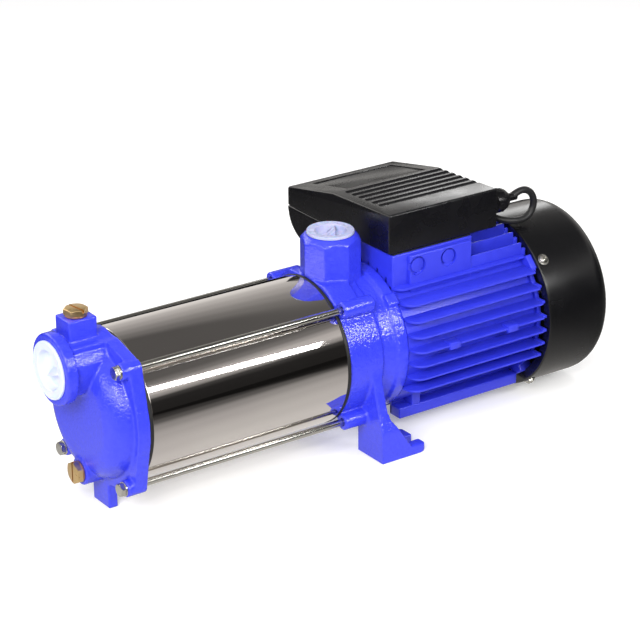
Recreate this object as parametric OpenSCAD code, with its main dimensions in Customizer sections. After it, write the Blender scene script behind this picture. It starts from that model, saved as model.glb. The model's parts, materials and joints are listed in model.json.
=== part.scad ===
// Horizontal multistage centrifugal pump, close coupled to a finned electric motor.
// Origin: on the floor under the shaft, in line with the seats of the two foot slots.
// X runs along the shaft from the suction end to the fan, Y to the far side, Z up.

/* [Shaft line and sleeve] */
// Height of the shaft above the floor
shaft_h = 83; // [80:1:100]
// Outside diameter of the stainless sleeve
sleeve_d = 125; // [120:1:128]
// Wall of the stainless sleeve
sleeve_t = 1.5; // [1:0.5:2]
// Length of the stainless sleeve
sleeve_len = 182; // [160:1:240]
// Visible width of each rubber ring between sleeve and casing
ring_w = 3; // [2:0.5:4]
// How far the rings stand proud of the sleeve, on the radius
ring_proud = 0.4; // [0.2:0.1:1]
// Number of pump stages
stages = 5; // [5:1:5]

/* [Tie rods] */
// Radius of the circle on which the four tie rods stand
rod_circle_r = 68.6; // [67:0.1:71]
// Diameter of a tie rod
rod_d = 6; // [5:1:8]
// Size of the hexagon heads across flats
rod_head_af = 10; // [9:1:12]
// Height of a hexagon head
rod_head_h = 4; // [3:0.5:5]
// Thickness of the washer under each head
washer_t = 1.2; // [0.8:0.1:2]
// Radius of the cast ears and bosses round the tie rods
ear_r = 7; // [6.5:0.5:8]
// How far the ears stand forward of the cover's rear face
ear_depth = 17; // [13:0.5:20]
// Thread length of a tie rod inside its boss
rod_grip = 22; // [12:1:24]

/* [Suction casing] */
// Radius of the front cover's rim
rim_r = 63.5; // [63.5:0.5:65]
// Thickness of the front cover's rim
rim_t = 11; // [9:0.5:13]
// Radius of the dome where it meets the rim
dome_r = 57; // [54:0.5:58]
// Rounding of the dome's edge
dome_round = 20; // [16:1:24]
// How far the dome's flat stands forward of the rim
dome_h = 17; // [15:1:20]
// Wall of the castings
cast_t = 5; // [4:0.5:6]
// Height of the suction port above the shaft
suction_z = 42.6; // [40:0.1:43]
// Distance of the suction port's face from the cover's rear face
suction_reach = 50; // [46:1:56]
// Radius of the collar round the suction port
suction_collar_r = 29; // [28:0.5:30]
// Length of that collar
suction_collar_l = 9; // [8:1:12]
// Radius of the neck behind the collar
suction_neck_r = 25; // [24.5:0.5:27]
// Minor radius of the suction port's G 1 1/4 thread
suction_thread_r = 19.48; // [19.48:0.01:19.48]
// Length of the suction port's thread
suction_thread_l = 16; // [13:1:18]
// Half width of the saddle behind the collar, at its top
saddle_half_w = 19; // [18:1:22]
// Height of the saddle's top above the shaft
saddle_z = 63.5; // [62:0.5:64]
// Height of the lip along the saddle's top edges
saddle_lip = 3.5; // [3:0.5:4]
// Width of the front foot
front_foot_w = 25; // [20:1:30]
// Thickness of the front foot, along the shaft
front_foot_t = 8; // [6:1:10]

/* [Priming and drain plugs] */
// Width of the square priming boss, across the shaft
priming_w = 22; // [20:1:23]
// Length of the square priming boss, along the shaft
priming_l = 24.5; // [20:0.5:25]
// Height of the priming boss's top above the shaft
priming_z = 82; // [81:1:90]
// Distance of the priming plug from the cover's rear face
priming_x = 25.5; // [24:0.5:26]
// Size of the brass plugs across flats
plug_af = 17; // [16:1:18]
// Height of a brass plug's head
plug_head_h = 5; // [4.5:0.5:8]
// Radius of a brass plug's threaded shank
plug_shank_r = 6.3; // [6:0.1:6.4]
// Length of that shank
plug_shank_l = 9; // [8:0.5:10]
// Clearance on the radius between shank and hole
plug_gap = 0.3; // [0.2:0.05:0.35]
// Width of the screwdriver slot
slot_w = 1.6; // [1.2:0.1:2]
// Thickness of a brass plug's sealing washer
plug_washer_t = 1.5; // [1:0.1:2]
// Depth of the drain plug below the shaft
drain_z = 49.5; // [47:0.5:50]
// Radius of the drain boss
drain_boss_r = 11.5; // [11:0.5:12]
// Distance of the drain boss's face from the cover's rear face
drain_reach = 29; // [28:0.5:30]

/* [Discharge casing and feet] */
// Distance of the casing's front face ahead of the foot bolts
casing_ahead = 47; // [46:1:50]
// Length of the casing's rough cast barrel
barrel_l = 33; // [31:1:35]
// Radius of the casing's rough cast barrel
barrel_r = 61.5; // [61:0.5:62]
// Distance of the discharge port ahead of the foot bolts
discharge_ahead = 23.4; // [23:0.1:24]
// Size of the octagonal discharge boss, from corner to opposite corner
discharge_boss_d = 51; // [50:0.5:53]
// Height of the discharge boss's top above the shaft
discharge_z = 96.5; // [94:0.5:100]
// Chamfer round the top of the discharge boss
discharge_chamfer = 5; // [3:0.5:5]
// Minor radius of the discharge port's G 1 thread
discharge_thread_r = 15.15; // [15.15:0.01:15.15]
// Length of the discharge port's thread
discharge_thread_l = 16; // [13:1:18]
// Distance of the motor's face behind the foot bolts
motor_behind = 11; // [10:1:13]
// Radius of the flange that the motor is bolted to
bracket_r = 63; // [63:0.5:64]
// Thickness of that flange
flange_t = 11; // [9:0.5:12]
// Width over the two feet
feet_w = 150; // [146:1:156]
// Width of one foot
foot_w = 35; // [33:1:36]
// Length of a foot along the shaft
foot_l = 44; // [42:1:50]
// Thickness of a foot's plate
foot_t = 8; // [7:0.5:10]
// Distance between the two foot slots
slot_pitch = 120; // [118:1:122]
// Width of a foot slot
foot_slot_w = 9; // [8:0.5:10]
// Thickness of a foot's front wall and side web
foot_wall = 9; // [7:0.5:9]

/* [Motor] */
// Length of the motor housing
motor_len = 132; // [128:1:160]
// Radius of the housing's tube
tube_r = 62; // [61:0.5:62.5]
// Radius over the tips of the cooling fins
fin_r = 75; // [74:0.5:75]
// Thickness of a fin
fin_t = 2; // [1.8:0.1:2.4]
// Rounding of the fins' front corners
fin_round = 10; // [8:1:11]
// Distance between the lower fins
fin_pitch = 12.3; // [12:0.1:12.6]
// Wall of the housing's tube
housing_wall = 6.5; // [6:0.5:7]
// Radius of the stator's bore
stator_bore_r = 32.5; // [32:0.5:33]
// Length of the stator and of the rotor core
stator_l = 70; // [60:1:74]
// Air gap between rotor and stator, on the radius
air_gap = 0.4; // [0.35:0.05:0.6]
// Depth of the two bottom rails' underside below the shaft
rail_z = 67.5; // [66:0.5:70]
// Distance of the rails' outer faces from the middle
rail_y = 39.5; // [38:0.5:42]

/* [Fan and cover] */
// Gap between the fins' ends and the fan cover
cover_gap = 5; // [4.5:0.5:7]
// Outside radius of the fan cover
cover_r = 76.2; // [75.5:0.1:77]
// Wall of the fan cover
cover_t = 1.8; // [1.5:0.1:2.2]
// Length of the fan cover
cover_len = 70; // [68:1:80]
// Rounding of the fan cover's rear edge
cover_round = 16; // [14:1:18]
// How far the fan cover sits below the shaft line
cover_drop = 3; // [0:0.5:3]
// Radius of the fan
fan_r = 64; // [56:1:66]
// Number of fan blades
fan_blades = 7; // [5:1:9]

/* [Terminal box] */
// Length of the box along the shaft
box_len = 111; // [108:1:115]
// Distance of the box's front face ahead of the motor's face
box_ahead = 2.6; // [1.5:0.1:3]
// Distance of the near face from the shaft
box_near = 37.5; // [36:0.5:39]
// Distance of the far face from the shaft
box_far = 109.3; // [107:0.1:112]
// Height of the mounting pad's top above the shaft
pad_z = 79.5; // [79:0.5:82]
// Height of the box's walls on the near side
box_wall_h = 34.5; // [33:0.5:38]
// Wall of the box
box_t = 2.4; // [2:0.1:2.8]
// Radius of the far bulge that holds the capacitor
bulge_r = 27.3; // [26.5:0.1:28]
// Thickness of the gasket under the box
gasket_t = 1; // [0.8:0.1:1.5]
// Radius of the capacitor
capacitor_r = 18; // [15:0.5:19]
// Length of the capacitor
capacitor_l = 86; // [70:1:90]
// Number of grooves on the lid
grooves = 6; // [4:1:6]

/* [Cable] */
// Diameter of the mains cable
cable_d = 6; // [6:0.1:6]
// Distance of the cable gland's axis from the shaft, to the near side
gland_near = 24; // [24:0.1:24]
// Height of the cable gland's axis above the shaft
gland_z = 98; // [98:0.1:98]
// Radius of the cable gland's body
gland_r = 10.5; // [10:0.5:11]
// Length of the gland outside the box
gland_l = 20.6; // [20.6:0.1:20.6]

/* [Hidden] */
$fn = 64;

// Stations along X
casing_x = -casing_ahead;
sleeve_rear = casing_x - ring_w;
sleeve_front = sleeve_rear - sleeve_len;
cover_x = sleeve_front - ring_w;
suction_x = cover_x - suction_reach;
rim_front = cover_x - rim_t;
dome_front = rim_front - dome_h;
drain_x = cover_x - drain_reach;
head_x = cover_x - ear_depth;
discharge_x = -discharge_ahead;
motor_x = motor_behind;
motor_end = motor_x + motor_len;
hood_x = motor_end + cover_gap;
hood_end = hood_x + cover_len;
box_x = motor_x - box_ahead;
box_end = box_x + box_len;
boss_len = rod_grip + 8;

// Where the four tie rods stand, in degrees above the level line on the far side
rod_turns = [38, -47.5, 134, -134.5];

// Clearances
bore_gap = 0.35;
screw_gap = 0.25;
seal_face_gap = 0.1;
eps = 0.01;

// Stage stack
sleeve_bore_r = sleeve_d / 2 - sleeve_t;
bowl_r = sleeve_bore_r - 0.5;
bowl_t = 3;
inlet_plate_t = 3;
stack_x = sleeve_front + 2;
stack_end = sleeve_rear - 2;
stage_pitch = (stack_end - stack_x - inlet_plate_t) / stages;
web_t = 2.5;
shroud_t = 1.6;
impeller_gap = 1.2;
eye_r = 24;
neck_t = 2;
impeller_r = 51;
hub_len = 12.4;
vane_t = 2;
diffuser_r = 53;
hub_r = 12;
spacer_r = 11;
shaft_r = 7;

// Shaft steps
nut_w = 9;
nut_gap = 0.4;
shaft_front = stack_x - 14;
seal_shaft_r = 9;
bearing_f = [10, 23.5, 14];
bearing_r = [8.5, 20, 12];
core_shaft_r = 12;
fan_shaft_r = 7.5;
seal_wall_x = -12;
seal_wall_t = 8;
front_bearing_x = motor_x - bearing_f[2];
stator_x = motor_x + 26;
slots = 24;
winding_l = 16;
rear_bearing_x = motor_end - bearing_r[2];
lead_x = motor_x + 15;
lead_r = 8;
shield_t = 4;
shield_end = motor_end + shield_t;
screw_x = motor_end + 12;
lug_len = 18;
lug_w = 14;
lug_turns = [-146, -47, 47, 146];
stator_r = tube_r - housing_wall;
fan_x = motor_end + lug_len + 4;
fan_w = 28;
shaft_end = fan_x + fan_w - 2;
seal_seat_r = 16;
seal_head_r = 15;
seal_head_l = 24;
bolt_ring_r = tube_r - housing_wall / 2;
bolt_r = 2;
bolt_turn = 22.5;
bolt_grip = 10;

// Plugs of the ports
counterbore_l = 6;
thread_lead = 1.5;
port_plug_t = 2.2;
port_plug_gap = 0.4;

// Terminal box, heights measured from the shaft
box_bottom = pad_z + gasket_t;
box_top = box_bottom + box_wall_h;
break_y = 42;
break_drop = 4;
far_drop = 17.5;
bulge_y = box_far - bulge_r;
capacitor_z = box_bottom - 2;
far_slope = atan((far_drop - break_drop) / (box_far - break_y));
near_slope = atan(break_drop / (break_y + box_near));
pad_len = 81.5;
pad_half = box_near + 1;
step_ahead = 15;
step_w = 4;
recess_r = 7.5;
recess_d = 1.5;
gland_x = box_end;
gland_y = -gland_near;

// The cable's loop behind the gland
loop_r = 13.2;
cable_loop = [for (a = [90:-22.5:-90]) [156.3 + loop_r * cos(a), -24, 171.3 + loop_r * sin(a)]];
// Route of the mains cable, from the gland over the fan cover to the coil
cable_route = concat([
    [140, -24, 181], [145.6, -24, 181.7], [151, -24, 183.5]
], cable_loop, [
    [151.2, -23.8, 158.2], [146.2, -22.5, 158.7], [141.7, -19.8, 159.5], [138.1, -16, 160.4],
    [135.7, -11.3, 161.3], [134.4, -6, 162.1], [134, -0.5, 162.6], [134, 5.5, 162.8],
    [134, 12, 162.3], [134, 20, 160.5], [134, 30, 157.1], [134, 42, 151.2],
    [134, 54, 142], [134.2, 65.5, 127], [134.6, 74, 108], [135, 79, 88], [135.5, 81, 66],
    [136, 82.5, 46], [136.5, 87, 28], [136.9, 95, 13.5], [137.1, 105, 6], [137.2, 116, 3.5],
    [137.1, 127, 3.1]
]);
tail_route = [
    [97, 167, 9.3], [89, 167, 9.7], [80, 166.7, 12], [72, 165.9, 15.9], [66, 165.3, 18.1], [60, 165, 18.5]
];
cable_step = 3;
coil_x = 97;
coil_y = 127;
coil_r = 34;
coil_half = 9.3;
coil_h = 12.6;
plug_x = 60;
plug_y = 165;
plug_r = 18.5;
plug_l = 62;

// Puts a shape drawn along Z onto the shaft line, starting at x and running to the fan
module along(x) {
    translate([x, 0, shaft_h]) rotate([0, 90, 0]) children();
}

// The same, running towards the suction end
module ahead(x) {
    translate([x, 0, shaft_h]) rotate([0, -90, 0]) children();
}

module rod_places() {
    for (a = rod_turns) translate([0, rod_circle_r * cos(a), rod_circle_r * sin(a)]) children();
}

// A plate across the shaft, its outline seen from the suction end: far side right, up is up
module cross_plate(x, h) {
    translate([x, 0, shaft_h]) rotate([90, 0, 90]) linear_extrude(h) children();
}

// Walls that join the ears to a round rim without a notch, their faces just inside both curves
module ear_webs(x, h, rim) {
    ear = ear_r - 0.3;
    low = rim - 0.4;
    spread = acos((low - ear) / rod_circle_r);
    c = cos(spread);
    s = sin(spread);
    for (a = rod_turns) cross_plate(x, h) rotate(a) polygon([
        [low * c, -low * s], [rod_circle_r + ear * c, -ear * s],
        [rod_circle_r + ear * c, ear * s], [low * c, low * s]
    ]);
}

// Outer point where a line from corner c touches a circle in the ear round e, on side s
function touch(c, e, s) = let (r = ear_r - 0.3, v = c - e, d = norm(v), u = v / d, b = s * acos(r / d))
    e + r * [u[0] * cos(b) - u[1] * sin(b), u[0] * sin(b) + u[1] * cos(b)];

// Straight walls from the ears up to the corners of a flat top of half width w and height z
module top_webs(x, h, w, z) {
    for (a = [rod_turns[0], rod_turns[2]]) {
        s = a < 90 ? -1 : 1;
        corner = [-s * w, z];
        rod = rod_circle_r * [cos(a), sin(a)];
        cross_plate(x, h) polygon([[0, 0], [0, z], corner, touch(corner, rod, s), rod]);
    }
}

module tube(r_out, r_in, h) {
    difference() {
        cylinder(r = r_out, h = h);
        translate([0, 0, -1]) cylinder(r = r_in, h = h + 2);
    }
}

// A hexagon bar, measured across its flats
module hexagon(af, h) {
    cylinder(r = af / sqrt(3), h = h, $fn = 6);
}

// A dome with a rounded edge: base radius r, rounding q, height h
module dome(r, q, h) {
    rotate_extrude() {
        square([r - q, h]);
        intersection() {
            translate([r - q, h - q]) circle(q);
            square([r, h]);
        }
    }
}

module suction_casing() {
    color("royalblue") difference() {
        union() {
            ahead(cover_x) cylinder(r = rim_r, h = rim_t);
            ahead(rim_front) dome(dome_r, dome_round, dome_h);
            rod_places() ahead(cover_x) cylinder(r = ear_r, h = ear_depth);
            ear_webs(rim_front, rim_t, rim_r);
            top_webs(rim_front, rim_t, saddle_half_w, saddle_z);
            suction_neck();
            drain_boss();
            front_foot();
        }
        ahead(cover_x + eps) cylinder(r = dome_r - cast_t, h = rim_t + 1);
        ahead(rim_front) dome(dome_r - cast_t, dome_round - cast_t, dome_h - cast_t);
        rod_places() ahead(cover_x + 1)
            cylinder(r = rod_d / 2 + screw_gap, h = ear_depth + 2);
        suction_bore();
        translate([cover_x - priming_x, 0, shaft_h + suction_z]) {
            cylinder(r = plug_shank_r + plug_gap, h = priming_z);
        }
        translate([0, 0, -drain_z]) ahead(rim_front + 4)
            cylinder(r = plug_shank_r + plug_gap, h = drain_reach);
    }
}

module suction_neck() {
    translate([0, 0, suction_z]) {
        ahead(cover_x - 2) cylinder(r = suction_neck_r, h = suction_reach - 5);
        ahead(suction_x + suction_collar_l) {
            cylinder(r = suction_collar_r, h = suction_collar_l - 1);
            translate([0, 0, suction_collar_l - 1])
                cylinder(r1 = suction_collar_r, r2 = suction_collar_r - 1, h = 1);
        }
    }
    saddle();
    boss_x = cover_x - priming_x;
    translate([boss_x - priming_l / 2, -priming_w / 2, shaft_h + suction_z])
        cube([priming_l, priming_w, priming_z - suction_z]);
}

// The cast web that carries the neck and the priming boss on the rim, with a lip along its top
module saddle() {
    wide = suction_neck_r - 0.5;
    under = saddle_half_w - 1.2;
    outline = [
        [-wide, suction_z], [wide, suction_z], [under, saddle_z - 5], [under, saddle_z - 1],
        [-under, saddle_z - 1], [-under, saddle_z - 5]
    ];
    saddle_x = suction_x + suction_collar_l - 3;
    cross_plate(saddle_x, cover_x - 5 - saddle_x) polygon(outline);
    cross_plate(saddle_x, cover_x - 5 - saddle_x)
        translate([-saddle_half_w, saddle_z - saddle_lip]) square([2 * saddle_half_w, saddle_lip]);
}

// Mouth for the transport plug, then the thread, then the way into the casing
module suction_bore() {
    floor_x = rim_front - 3;
    translate([0, 0, suction_z]) {
        ahead(floor_x) cylinder(r = suction_thread_r - 1.5, h = suction_reach);
        ahead(suction_x + counterbore_l + suction_thread_l)
            cylinder(r = suction_thread_r, h = suction_reach);
        ahead(suction_x + counterbore_l)
            cylinder(r = suction_thread_r + thread_lead, h = suction_reach);
    }
}

module drain_boss() {
    translate([0, 0, -drain_z]) ahead(rim_front - 1)
        cylinder(r = drain_boss_r, h = rim_front - 1 - drain_x);
}

module front_foot() {
    translate([rim_front, -front_foot_w / 2, 0])
        cube([front_foot_t, front_foot_w, shaft_h - dome_r + 3]);
}

module sleeve_ring(x) {
    color([0.05, 0.05, 0.05]) along(x)
        tube(sleeve_d / 2 + ring_proud, sleeve_bore_r - 3, ring_w);
}

module front_sleeve_seal() { sleeve_ring(cover_x); }

module rear_sleeve_seal() { sleeve_ring(sleeve_rear); }

module stainless_sleeve() {
    color("silver") along(sleeve_front) tube(sleeve_d / 2, sleeve_bore_r, sleeve_len);
}

module tie_rods() {
    length = casing_x + rod_grip - head_x + washer_t;
    color("gainsboro") rod_places() along(head_x - washer_t) {
        cylinder(r = rod_d / 2, h = length);
        rotate([180, 0, 0]) hexagon(rod_head_af, rod_head_h);
    }
}

module tie_rod_washers() {
    color("lightgray") rod_places() along(head_x - washer_t)
        tube(rod_head_af * 0.6, rod_d / 2 + screw_gap / 2, washer_t);
}

module discharge_casing() {
    bracket_x = casing_x + barrel_l;
    flange_x = motor_x - flange_t;
    base_z = barrel_r + 0.5;
    color("royalblue") difference() {
        union() {
            along(casing_x) cylinder(r = barrel_r, h = barrel_l);
            along(bracket_x) cylinder(
                r1 = barrel_r - 2.5, r2 = barrel_r - 0.5, h = flange_x - bracket_x + 1
            );
            along(flange_x) cylinder(r = bracket_r, h = flange_t);
            flange_tabs(flange_x);
            rod_places() along(casing_x) cylinder(r = ear_r, h = boss_len);
            discharge_base(base_z);
            discharge_boss();
            for (side = [-1, 1]) foot(side);
        }
        along(casing_x - 1)
            cylinder(r = barrel_r - cast_t - 4, h = seal_wall_x - casing_x + 1);
        along(casing_x - 1) cylinder(r = sleeve_bore_r - 3, h = 5);
        discharge_bore();
        rod_places() along(casing_x - 1) cylinder(r = rod_d / 2, h = rod_grip + 1);
        along(seal_wall_x - 1) cylinder(r = seal_seat_r, h = 8);
        along(seal_wall_x - 1) cylinder(r = seal_shaft_r + 1.5, h = motor_x - seal_wall_x + 2);
        along(seal_wall_x + seal_wall_t)
            cylinder(r = bearing_f[1] - 3, h = 10);
        along(front_bearing_x) cylinder(r = bearing_f[1], h = bearing_f[2] + 1);
        bolt_places(motor_x - bolt_grip, bolt_grip + 1, bolt_r);
        along(casing_x - 20) cylinder(r = sleeve_d / 2 + ring_proud + 0.7, h = 20);
    }
}

// The cast base under the discharge boss, sloping down to both sides
module discharge_base(z) {
    half = discharge_boss_d / 2;
    foot_y = rod_circle_r * 0.71;
    cross_plate(casing_x, discharge_x - casing_x) polygon([
        [-foot_y, 0.73 * z], [-half, z], [half, z], [foot_y, 0.73 * z], [0, z / 2]
    ]);
}

// Low square tabs on the flange
module flange_tabs(x) {
    for (a = [-45, 45]) rotate_about_shaft(a)
        translate([x, -5, shaft_h + bracket_r - 8]) cube([flange_t, 10, 10.5]);
}

// An octagon with a corner towards the suction end, chamfered round its top
module discharge_boss() {
    h = discharge_z - discharge_chamfer;
    translate([discharge_x, 0, shaft_h]) {
        cylinder(r = discharge_boss_d / 2, h = h, $fn = 8);
        intersection() {
            translate([0, 0, h - eps])
                cylinder(r = discharge_boss_d / 2, h = discharge_chamfer + eps, $fn = 8);
            translate([0, 0, h - 1])
                cylinder(
                    r1 = discharge_boss_d / 2 + 1,
                    r2 = discharge_boss_d / 2 - discharge_chamfer,
                    h = discharge_chamfer + 1
                );
        }
    }
}

module discharge_bore() {
    translate([discharge_x, 0, shaft_h + discharge_z]) mirror([0, 0, 1])
        translate([0, 0, -1]) {
            cylinder(r = discharge_thread_r - 1.5, h = discharge_z - barrel_r + cast_t + 8);
            cylinder(r = discharge_thread_r, h = counterbore_l + discharge_thread_l + 1);
            cylinder(r = discharge_thread_r + thread_lead, h = counterbore_l + 1);
        }
}

// One foot, side -1 near or +1 far: front wall, side web and slotted plate
module foot(side) {
    outer = feet_w / 2;
    inner = outer - foot_w;
    tail = 19;
    front = foot_l - tail;
    top = shaft_h - 3;
    // Outer edge of wall and web, from the floor up to the barrel, as [distance, height]
    edge = [
        [outer, 0], [outer, 0.33 * shaft_h], [0.935 * outer, 0.49 * shaft_h],
        [0.88 * outer, 0.66 * shaft_h], [barrel_r + 1.5, 0.82 * shaft_h], [barrel_r - 0.5, top]
    ];
    skin = [for (i = [len(edge) - 1:-1:0]) edge[i] - [foot_wall, 0]];
    web = [
        [-front, 0], [4, 0], [4, foot_t + 1], [-0.3 * front, 0.32 * shaft_h],
        [-0.56 * front, 0.43 * shaft_h], [foot_wall - front, 0.54 * shaft_h],
        [foot_wall - front, top], [-front, top]
    ];
    mirror([0, side < 0 ? 1 : 0, 0]) {
        translate([-front, 0, 0]) rotate([90, 0, 90]) linear_extrude(foot_wall)
            polygon(concat(edge, [[inner - 10, top], [inner, 19], [inner, 0]]));
        intersection() {
            translate([-front, 0, 0]) rotate([90, 0, 90]) linear_extrude(foot_l)
                polygon(concat(edge, skin));
            translate([0, outer + 1, 0]) rotate([90, 0, 0]) linear_extrude(foot_w) polygon(web);
        }
        foot_plate(outer, inner, front, tail);
    }
}

module foot_plate(outer, inner, front, tail) {
    corner = 3;
    slot_y = slot_pitch / 2;
    difference() {
        union() {
            translate([-front, inner, 0]) cube([foot_l - corner, foot_w, foot_t]);
            for (y = [inner + corner, outer - corner])
                translate([tail - corner, y, 0]) cylinder(r = corner, h = foot_t);
            translate([-front, inner + corner, 0])
                cube([foot_l, foot_w - 2 * corner, foot_t]);
        }
        translate([0, slot_y, -1]) cylinder(r = foot_slot_w / 2, h = foot_t + 2);
        translate([0, slot_y - foot_slot_w / 2, -1]) cube([foot_l, foot_slot_w, foot_t + 2]);
    }
}

module inlet_plate() {
    color("dimgray") along(stack_x) tube(bowl_r, eye_r, inlet_plate_t);
}

// One guide vane of a return channel, a bent strip from radius a to radius b
module guide_vane(a, b, lean, h) {
    arc = [for (i = [0:6]) let (r = a + (b - a) * i / 6, w = lean * i / 6) [r, w]];
    near_side = [for (p = arc) p[0] * [cos(p[1]), sin(p[1])]];
    far_side = [for (i = [6:-1:0]) let (p = arc[i], q = p[1] + vane_t / p[0] * 57.3)
        p[0] * [cos(q), sin(q)]];
    linear_extrude(h) polygon(concat(near_side, far_side));
}

module stage_bowl(i) {
    x = stack_x + inlet_plate_t + (i - 1) * stage_pitch;
    disc_z = impeller_gap + hub_len + 2.4;
    vane_h = stage_pitch - web_t - disc_z - web_t;
    color("darkgray") along(x) {
        tube(bowl_r, bowl_r - bowl_t, stage_pitch);
        translate([0, 0, stage_pitch - web_t]) tube(bowl_r - 1, eye_r, web_t);
        translate([0, 0, disc_z]) tube(diffuser_r, spacer_r + bore_gap, web_t);
        for (a = [0:45:315]) rotate([0, 0, a]) translate([0, 0, disc_z + 1])
            guide_vane(eye_r + 3, diffuser_r - 1, 35, vane_h + web_t - 0.5);
    }
}

module impeller(i) {
    x = stack_x + inlet_plate_t + (i - 1) * stage_pitch;
    color("seagreen") along(x + impeller_gap) {
        translate([0, 0, hub_len - shroud_t]) tube(impeller_r, shaft_r, shroud_t);
        tube(hub_r, shaft_r, hub_len);
        translate([0, 0, shroud_t]) tube(impeller_r, eye_r - 4, shroud_t);
        translate([0, 0, -2 * impeller_gap]) tube(eye_r - bore_gap, eye_r - bore_gap - neck_t, 5);
        for (a = [0:60:300]) rotate([0, 0, a]) translate([0, 0, 1.5 * shroud_t])
            guide_vane(hub_r - 1, impeller_r - 1, -60, hub_len - 2 * shroud_t);
    }
}

module impeller_spacers() {
    color("silver") {
        for (i = [1:stages]) {
            x = stack_x + inlet_plate_t + (i - 1) * stage_pitch + impeller_gap + hub_len;
            last = seal_wall_x - seal_head_l - seal_face_gap - x;
            along(x) tube(spacer_r, shaft_r, i < stages ? stage_pitch - hub_len : last);
        }
    }
}

module impeller_nut() {
    x = stack_x + inlet_plate_t + impeller_gap;
    color("silver") along(x - nut_w) difference() {
        union() {
            hexagon(19, nut_w - 2);
            translate([0, 0, nut_w - 2]) cylinder(r = hub_r, h = 2);
        }
        translate([0, 0, -1]) cylinder(r = shaft_r, h = nut_w + 2);
    }
}

module shaft_seal_seat() {
    color("dimgray") along(seal_wall_x) tube(seal_seat_r, seal_shaft_r + 1, 7);
}

module shaft_seal_head() {
    color("black") along(seal_wall_x - seal_head_l - seal_face_gap) {
        tube(seal_head_r - 2, seal_shaft_r, seal_head_l);
        for (z = [0:4.2:18]) translate([0, 0, z]) tube(seal_head_r, seal_shaft_r, 2.4);
        translate([0, 0, seal_head_l - 4]) tube(seal_head_r - 0.5, seal_shaft_r, 4);
    }
}

module shaft() {
    steps = [
        [shaft_front, shaft_r], [seal_wall_x - seal_head_l - seal_face_gap, seal_shaft_r],
        [front_bearing_x, bearing_f[0]], [motor_x, core_shaft_r],
        [rear_bearing_x, bearing_r[0]], [motor_end, fan_shaft_r], [shaft_end, 0]
    ];
    color("silver") for (i = [0:len(steps) - 2])
        along(steps[i][0]) cylinder(r = steps[i][1], h = steps[i + 1][0] - steps[i][0]);
}

// Ball bearing parts, d = [bore radius, outer radius, width]
function ball_r(d) = (d[1] - d[0]) * 0.27;
function pitch_r(d) = (d[1] + d[0]) / 2;

module outer_ring(d) {
    rotate_extrude() difference() {
        translate([d[1] - 3.2, 0]) square([3.2, d[2]]);
        translate([pitch_r(d), d[2] / 2]) circle(ball_r(d) + 0.35);
    }
}

module inner_ring(d) {
    rotate_extrude() difference() {
        translate([d[0], 0]) square([3.2, d[2]]);
        translate([pitch_r(d), d[2] / 2]) circle(ball_r(d) + 0.35);
    }
}

module balls_and_cage(d) {
    for (i = [0:7]) rotate([0, 0, i * 45]) translate([pitch_r(d), 0, d[2] / 2])
        sphere(r = ball_r(d));
    translate([0, 0, d[2] / 2 - 1.5]) tube(pitch_r(d) + 0.8, pitch_r(d) - 0.8, 3);
}

module front_bearing_outer_ring() { color("silver") along(front_bearing_x) outer_ring(bearing_f); }

module front_bearing_inner_ring() { color("silver") along(front_bearing_x) inner_ring(bearing_f); }

module front_bearing_balls() { color("gold") along(front_bearing_x) balls_and_cage(bearing_f); }

module rear_bearing_outer_ring() { color("silver") along(rear_bearing_x) outer_ring(bearing_r); }

module rear_bearing_inner_ring() { color("silver") along(rear_bearing_x) inner_ring(bearing_r); }

module rear_bearing_balls() { color("gold") along(rear_bearing_x) balls_and_cage(bearing_r); }

// Four bolt holes or bolts in the wall of the housing
module bolt_places(x, h, r) {
    for (a = [0:90:270]) rotate_about_shaft(a + bolt_turn)
        translate([0, 0, bolt_ring_r]) along(x) cylinder(r = r, h = h);
}

module rotate_about_shaft(a) {
    translate([0, 0, shaft_h]) rotate([a, 0, 0]) translate([0, 0, -shaft_h]) children();
}

module motor_housing() {
    color("mediumblue") difference() {
        union() {
            along(motor_x) cylinder(r = tube_r, h = motor_len);
            fins();
            rails();
            pad();
        }
        along(motor_x - 1) cylinder(r = stator_r, h = motor_len + 2);
        bolt_places(motor_x - 1, motor_len + 2, bolt_r + screw_gap / 2);
        pad_window();
        for (x = [motor_x + 0.17 * motor_len, motor_x + 0.41 * motor_len], side = [-1, 1])
            translate([x, side * (pad_half + step_w), shaft_h + (tube_r + pad_z) / 2 - 3])
                rotate([90, 0, 0]) translate([0, 0, -recess_d]) cylinder(r = recess_r, h = 2 * recess_d);
    }
    color("mediumblue") fin_blocks();
}

// The seat of the terminal box; its sides step out behind the front end
module pad() {
    low = tube_r - 20;
    translate([motor_x, -pad_half, shaft_h + low])
        cube([pad_len, 2 * pad_half, pad_z - low]);
    translate([motor_x + step_ahead, -pad_half - step_w, shaft_h + low])
        cube([pad_len - step_ahead - 3, 2 * (pad_half + step_w), pad_z - low - 2]);
}

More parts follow.
